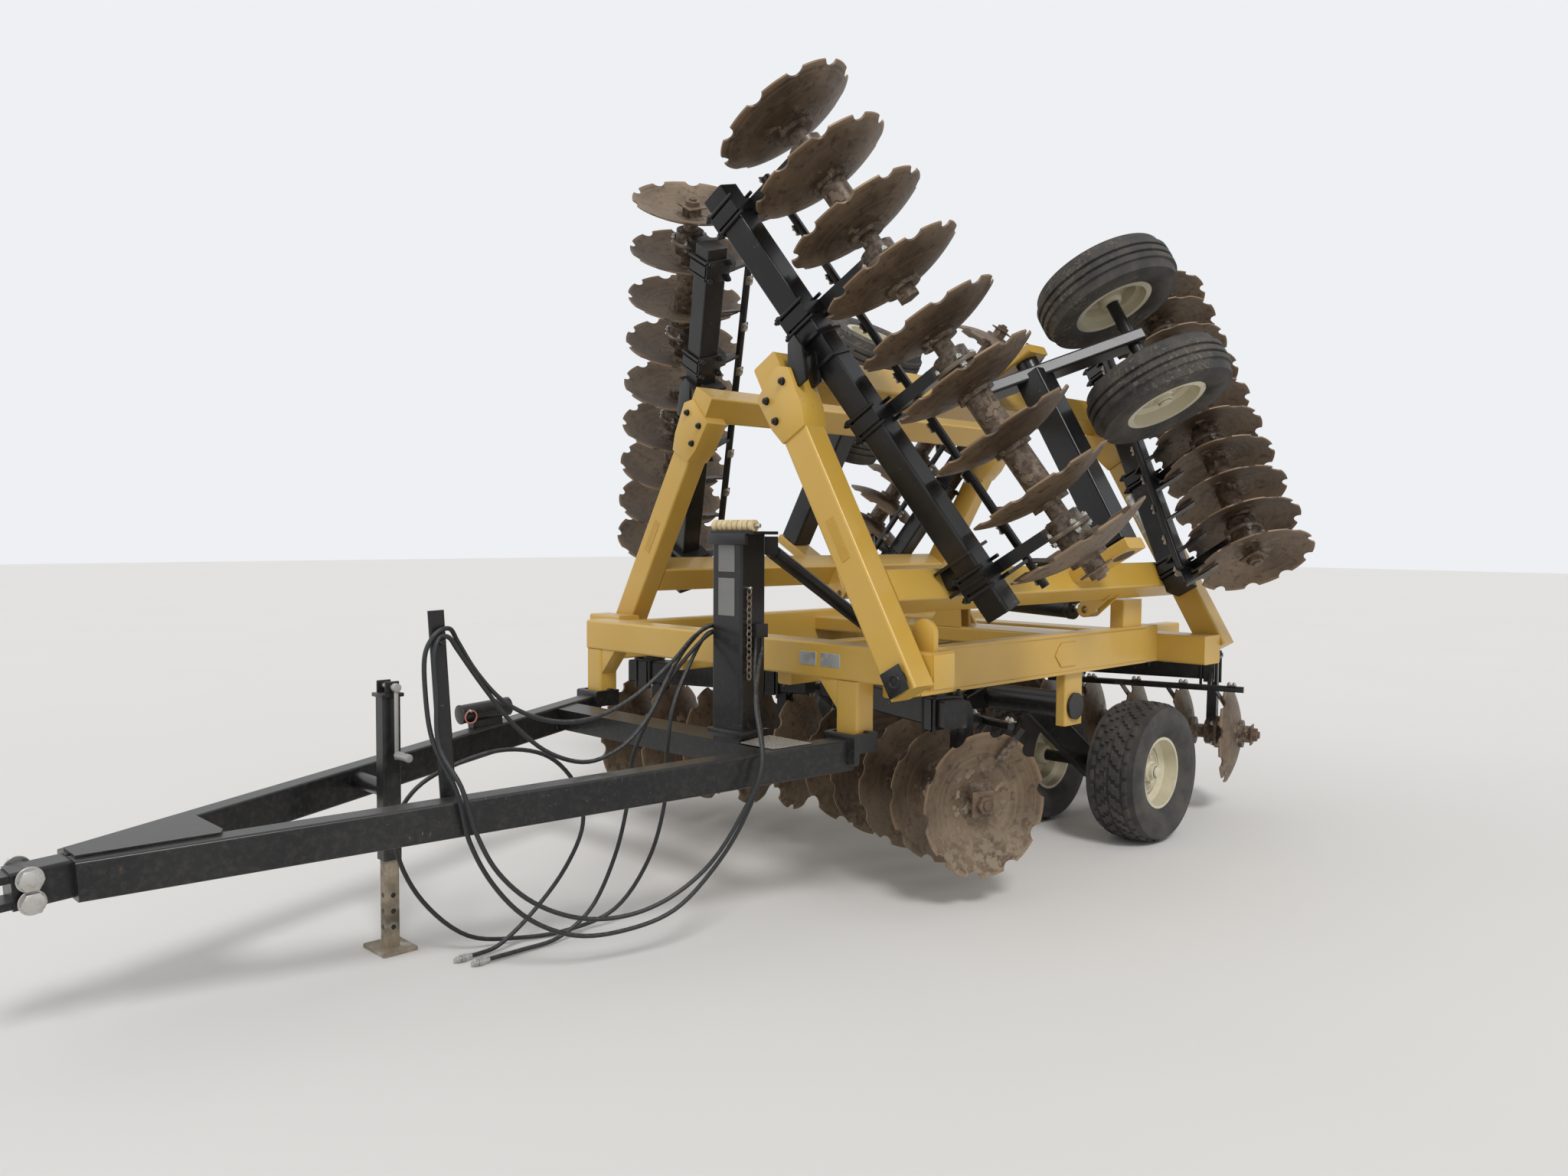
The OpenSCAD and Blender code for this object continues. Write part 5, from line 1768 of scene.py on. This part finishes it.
@dataclass(frozen=True)
class MastTop:
    """The depth mast's collar, its row of stops, blank plates and hanging chain."""

    x: float = 0.530
    y: float = -0.267
    width: float = 0.190
    depth: float = 0.146
    stops: int = 8
    stop_pitch: float = 0.0335
    stop_z: float = 1.727
    links: int = 15
    link_pitch: float = 0.0262

    def build(self, palette: Palette) -> None:
        """Adds all of it.

        Args:
            palette: the finishes.
        """
        base = upright(at(0, self.y * 1000, 0) + Vector((self.x, 0, 0)))
        collar = Shop.block((self.width + 0.036, self.depth + 0.030, 0.036), (0, 0, 0.812))
        collar = Shop.bevel(collar, 0.005, 2)
        cap = Shop.block((self.width + 0.050, 0.020, 0.050), (0.014, -self.depth / 2 - 0.008, 1.668))
        cap = Shop.bevel(cap, 0.004, 2)
        black = [Shop.put(piece, base) for piece in (collar, cap)]
        Shop.fit("mast_collar", black, "tongue", "black", palette.black)
        stop = Shop.lathe(((-0.012, 0.010), (-0.012, 0.026), (0.012, 0.026), (0.012, 0.010)), 24)
        stop = Shop.bevel(stop, 0.002, 1)
        spots = [base.shifted(-0.105 + self.stop_pitch * i, -0.035, self.stop_z) for i in range(self.stops)]
        Shop.fit("depth_stops", Shop.spread(stop, spots), "tongue", "black", palette.stops)
        rod = Shop.bevel(Shop.cylinder(0.0098, -0.140, 0.172, 20), 0.002, 1)
        rod = Shop.put(rod, base.shifted(0, -0.035, self.stop_z))
        Shop.fit("stop_rod", [rod], "tongue", "black", palette.bright)
        plates = []
        for z, tall in ((1.585, 0.120), (1.415, 0.165)):
            plate = Shop.bevel(Shop.block((0.105, 0.0024, tall), (0, -self.depth / 2 - 0.0009, z)), 0.001, 1)
            plates.append(Shop.put(plate, base))
        Shop.fit("mast_plates", plates, "tongue", "black", palette.grip)
        links = []
        for i in range(self.links):
            link = Shop.ring(0.0125, 0.0027, "X" if i % 2 else "Y", 16, 6)
            Shop.edit(link, "VERT", lambda c, n: True, Shop.resize(1.0, 1.0, 1.35))
            spot = base.shifted(self.width / 2 + 0.0165, -0.040, 1.440 - self.link_pitch * i)
            links.append(Shop.put(link, spot))
        Shop.fit("hanging_chain", links, "tongue", "black", palette.bolt)
        peg = Shop.bevel(Shop.cylinder(0.007, self.width / 2 - 0.004, self.width / 2 + 0.030, 16), 0.002, 1)
        Shop.fit(
            "chain_peg", [Shop.put(peg, base.shifted(0, -0.040, 1.456))], "tongue", "black", palette.bright
        )


@dataclass(frozen=True)
class JackHardware:
    """The jack's cap, crank and handle, and the holes down its leg."""

    x: float = -0.104
    y: float = -1.600
    top: float = 1.034
    holes: tuple[float, ...] = (0.095, 0.160, 0.225)

    def build(self, palette: Palette) -> None:
        """Adds all of it.

        Args:
            palette: the finishes.
        """
        base = upright(at(self.x * 1000, self.y * 1000, 0))
        cap = Shop.bevel(Shop.block((0.094, 0.094, 0.016), (0, 0, self.top + 0.004)), 0.003, 2)
        ears = [
            Shop.bevel(Shop.block((0.010, 0.060, 0.052), (x, 0, self.top + 0.034)), 0.004, 2)
            for x in (-0.036, 0.036)
        ]
        black = [Shop.put(piece, base) for piece in (cap, *ears)]
        Shop.fit("jack_cap", black, "jack", "black", palette.black)
        shaft = Shop.bevel(Shop.cylinder(0.0095, -0.048, 0.072, 20), 0.002, 1)
        shaft = Shop.put(shaft, base.shifted(0, 0, self.top + 0.038))
        arm = Shop.bevel(Shop.cylinder(0.0085, self.top - 0.250, self.top + 0.050, 20, "Z"), 0.003, 2)
        arm = Shop.put(arm, base.shifted(0.072, 0, 0))
        boss = Shop.bevel(Shop.cylinder(0.017, 0.058, 0.086, 24), 0.003, 2)
        boss = Shop.put(boss, base.shifted(0, 0, self.top + 0.038))
        Shop.fit("jack_crank", [shaft, arm, boss], "jack", "black", palette.grey)
        profile = (
            (0.0, 0.008), (0.0, 0.015), (0.010, 0.0165), (0.060, 0.0145), (0.098, 0.0165), (0.104, 0.012),
            (0.106, 0.0),
        )
        grip = Shop.lathe(profile, 24, "X", closed=False)
        Shop.fit(
            "jack_grip", [Shop.put(grip, base.shifted(0.076, 0, self.top - 0.232))],
            "jack", "black", palette.grey,
        )
        holes = []
        faces = ((base.x, -base.y), (-base.y, base.x), (base.y, -base.x))
        lip = ((0.0, 0.0082), (0.0004, 0.0090), (0.0004, 0.0102), (0.0, 0.0110))
        for z in self.holes:
            for along, out in faces:
                ring = Shop.lathe(lip, 20, "Y")
                pit = Shop.cylinder(0.0084, 0.0, 0.0003, 20, "Y")
                spot = Frame(base.point(0, 0, z) + out * 0.0299, along, out, base.z)
                holes.extend(Shop.put(piece, spot) for piece in (ring, pit))
        Shop.fit("leg_holes", holes, "jack_foot", "foot", palette.black)


@dataclass(frozen=True)
class TongueHardware:
    """The hitch's bolts, the step plate, and the pull ring on the spare stub."""

    stub_x: float = -0.679
    stub_y: float = 1.846
    rows: int = 8
    columns: int = 7

    def build(self, palette: Palette) -> None:
        """Adds all of it.

        Args:
            palette: the finishes.
        """
        tongue = LAYOUT.tongue()
        heads = []
        for z in (-0.104, -0.030):
            for way in (1, -1):
                washer = Shop.bevel(Shop.cylinder(0.041, 0.0, 0.006, 32), 0.0015, 1)
                head = Shop.hexagon(0.037, 0.0055, 0.028)
                turned = tongue.shifted(way * 0.0846, -0.122, z).flipped(way)
                heads.extend(Shop.put(piece, turned) for piece in (washer, head))
        Shop.fit("hitch_bolts", heads, "tongue", "black", palette.bright)
        corners = ((0.640, 2.415), (0.845, 2.415), (0.905, 2.590), (0.640, 2.590))
        step = Shop.put(Shop.bevel(Shop.outline(corners, 0.006, "XY", 0.0004), 0.002, 1), tongue)
        Shop.fit("step_plate", [step], "tongue", "black", palette.grip)
        studs = []
        stud = Shop.block((0.018, 0.005, 0.003), (0, 0, 0.0074))
        Shop.edit(stud, "FACE", lambda c, n: n.z > 0.9, Shop.resize(0.7, 0.5, 1.0))
        for i in range(self.rows):
            for j in range(self.columns):
                turned = tongue.shifted(0.660 + 0.026 * i, 2.437 + 0.022 * j, 0)
                if (i + j) % 2:
                    turned = Frame(turned.origin, turned.y, -turned.x, turned.z)
                studs.append(Shop.copy(stud, turned))
        Shop.drop(stud)
        Shop.fit("step_studs", studs, "tongue", "black", palette.grip)
        ring = Shop.ring(0.030, 0.0042, "X", 32, 8)
        spot = tongue.shifted(self.stub_x + 0.052, self.stub_y, 0.066)
        Shop.fit("pull_ring", [Shop.put(ring, spot)], "tongue", "black", palette.pink)
        pin = Shop.bevel(Shop.cylinder(0.007, -0.056, 0.060, 16), 0.002, 1)
        Shop.fit(
            "pull_pin", [Shop.put(pin, tongue.shifted(self.stub_x, self.stub_y, 0.094))],
            "tongue", "black", palette.bright,
        )
        cap = Shop.bevel(Shop.cylinder(0.047, -0.004, 0.006, 32, "Y"), 0.003, 2)
        spot = tongue.shifted(self.stub_x, 1.950 - 0.130, 0.075).flipped(y=-1)
        Shop.fit("stub_cap", [Shop.put(cap, spot)], "tongue", "black", palette.black)


@dataclass(frozen=True)
class FoldCylinder:
    """The gland, base cap and ports on one fold cylinder. Its ends are in millimetres."""

    side: Side
    left_y: float = 1900
    right_y: float = 2120
    foot: tuple[float, float] = (110, 1330)
    eye: tuple[float, float] = (1000, 1290)

    def build(self, palette: Palette) -> None:
        """Adds all of it.

        Args:
            palette: the finishes.
        """
        s = self.side.value
        y = self.left_y if s > 0 else self.right_y
        start, stop = (at(s * x, y, z) for x, z in (self.foot, self.eye))
        base = aligned(start, stop - start)
        gland = Shop.lathe(
            ((0.0, 0.034), (0.0, 0.060), (0.004, 0.066), (0.034, 0.066), (0.038, 0.062), (0.038, 0.034)), 40
        )
        gland = Shop.put(Shop.bevel(gland, 0.0015, 1), base.shifted(0.765, 0, 0))
        band = Shop.lathe(((0.0, 0.058), (0.0, 0.065), (0.022, 0.065), (0.022, 0.058)), 40)
        band = Shop.put(Shop.bevel(band, 0.0015, 1), base.shifted(0.070, 0, 0))
        Shop.fit(
            f"cylinder_bands_{self.side.word}", [gland, band],
            f"fold_barrel_{self.side.word}", "black", palette.black,
        )
        ports = []
        for x in (0.100, 0.735):
            boss = Shop.bevel(Shop.cylinder(0.016, 0.055, 0.082, 20, "Z"), 0.003, 2)
            nut = Shop.hexagon(0.015, 0.080, 0.098, "Z")
            elbow = Shop.bevel(Shop.cylinder(0.0095, 0.096, 0.118, 16, "Z"), 0.003, 2)
            ports.extend(Shop.put(piece, base.shifted(x, 0, 0)) for piece in (boss, nut, elbow))
        Shop.fit(
            f"cylinder_ports_{self.side.word}", ports,
            f"fold_barrel_{self.side.word}", "black", palette.bright,
        )


# Studio


@dataclass(frozen=True)
class Studio:
    """A pale floor, a pale backdrop and soft light."""

    around: float = 0.56
    backdrop: float = 0.90
    floor: Triple = (0.80, 0.79, 0.77)
    sun: float = 1.35
    softness: float = math.radians(16)
    fill: float = 0.38
    fill_softness: float = math.radians(60)

    def build(self) -> None:
        """Adds the floor, the world and the lamps."""
        Shop.clear()
        bpy.ops.mesh.primitive_plane_add(size=120, location=(0, 0, -0.0005))
        floor = Shop.settle()
        floor.name = "studio_floor"
        g = Graph("studio_floor")
        where = g.places()
        shade = g.noise(where, 0.6, 3.0)
        colour = g.blend(shade, self.floor, tuple(c * 0.97 for c in self.floor))
        g.finish(colour, 0.85, 0.0, None)
        floor.data.materials.append(g.material)
        self._world()
        lamps = (
            ("key", (42, 0, 62), self.sun, self.softness),
            ("fill", (58, 0, -30), self.fill, self.fill_softness),
        )
        for name, turn, strength, angle in lamps:
            lamp = bpy.data.lights.new(name, "SUN")
            lamp.energy = strength
            lamp.angle = angle
            obj = bpy.data.objects.new(name, lamp)
            obj.rotation_euler = tuple(math.radians(v) for v in turn)
            bpy.context.scene.collection.objects.link(obj)

    def _world(self) -> None:
        """Makes the world: plain light on the object, and a pale backdrop to the camera."""
        g = Graph("studio_world", world=True)
        kinds = ("Camera", "Glossy", "Transmission")
        rays = [g.node("ShaderNodeLightPath", {}, {}, f"Is {kind} Ray") for kind in kinds]
        seen = rays[0].high(rays[1]).high(rays[2])
        light = g.node("ShaderNodeBackground", {}, {"Color": (1.0, 1.0, 1.0), "Strength": self.around})
        pale = g.node("ShaderNodeBackground", {}, {"Color": (0.95, 0.97, 1.0), "Strength": self.backdrop})
        mixed = g.node("ShaderNodeMixShader", {}, {0: seen, 1: light, 2: pale})
        g.node("ShaderNodeOutputWorld", {}, {"Surface": mixed})
        bpy.context.scene.world = g.material
        bpy.context.scene.view_settings.view_transform = "Standard"


@dataclass(frozen=True)
class Shell:
    """The frame's own parts, given their finishes."""

    yellow: tuple[str, ...] = (
        "front_beam", "front_legs", "side_beams", "rear_beam", "inner_rails", "fold_anchor",
    )
    yellow_wings: tuple[str, ...] = ("wing_cross_tubes", "wing_rails")
    black: tuple[str, ...] = (
        "tongue_beams", "tongue_crossbar", "hitch_clevis", "mast",
        "tongue_fittings", "jack_tube", "level_link", "rockshaft",
    )
    black_wings: tuple[str, ...] = ("wing_rockshaft", "fold_barrel")

    def build(self, nodes: dict[str, Piece], palette: Palette) -> None:
        """Puts a finish on every part that stays.

        Args:
            nodes: the frame's parts by name.
            palette: the finishes.
        """
        wings = [side.word for side in Side]
        for name in (*self.yellow, *(f"{part}_{w}" for part in self.yellow_wings for w in wings)):
            self._dress(nodes[name], palette.yellow)
        for name in (*self.black, *(f"{part}_{w}" for part in self.black_wings for w in wings)):
            self._dress(nodes[name], palette.black)
        every = gangs()
        for front in (True, False):
            near = [g for g in every if not g.wing and g.front is front]
            name = f"{'front' if front else 'rear'}_gang_frames"
            self._dress(nodes[name], palette.black_paint.material(name, near))
        for side in Side:
            near = [g for g in every if g.wing and g.side is side]
            name = f"wing_gang_frames_{side.word}"
            self._dress(nodes[name], palette.black_paint.material(name, near))
        for word in wings:
            self._dress(nodes[f"fold_rod_{word}"], palette.rod)
        self._dress(nodes["jack_leg"], palette.foot)
        for gang in gangs():
            finish = DiscSteel(gang).material()
            for name, node in nodes.items():
                if name.startswith(gang.name) and name.endswith(gang.side.word) and "discs" in name:
                    self._dress(node, finish)

    @staticmethod
    def _dress(node: Piece, finish: Finish) -> None:
        """Puts one finish on a part."""
        node.data.materials.clear()
        node.data.materials.append(finish)
        LOG.info("%s: %s", node.name, finish.name)


def main() -> None:
    """Builds the harrow's scene."""
    logging.basicConfig(level=logging.INFO, format="%(message)s")
    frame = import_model()
    palette = Palette()
    View().build()
    Hoses().build(palette)
    Studio().build()
    Shell().build(frame["nodes"], palette)
    main_wheel = Wheel("main", Tread.LUGS, 0.387, 0.304, 0.192, 0.230, steps=120)
    wing_wheel = Wheel("wing", Tread.RIBS, 0.372, 0.232, 0.190, 0.190, hub_length=0.150, studs=6)
    WheelSet(main_wheel, "main_wheels", "main_tyres", "main_rims").build(palette)
    WheelSet(wing_wheel, "wing_wheels", "wing_tyres", "wing_rims").build(palette)
    for gang in gangs():
        GangHardware(gang).build(palette)
    for side in Side:
        WingHardware(side).build(palette)
        FoldCylinder(side).build(palette)
    for part in (FrameHardware(), MastTop(), JackHardware(), TongueHardware()):
        part.build(palette)


if __name__ == "__main__":
    main()
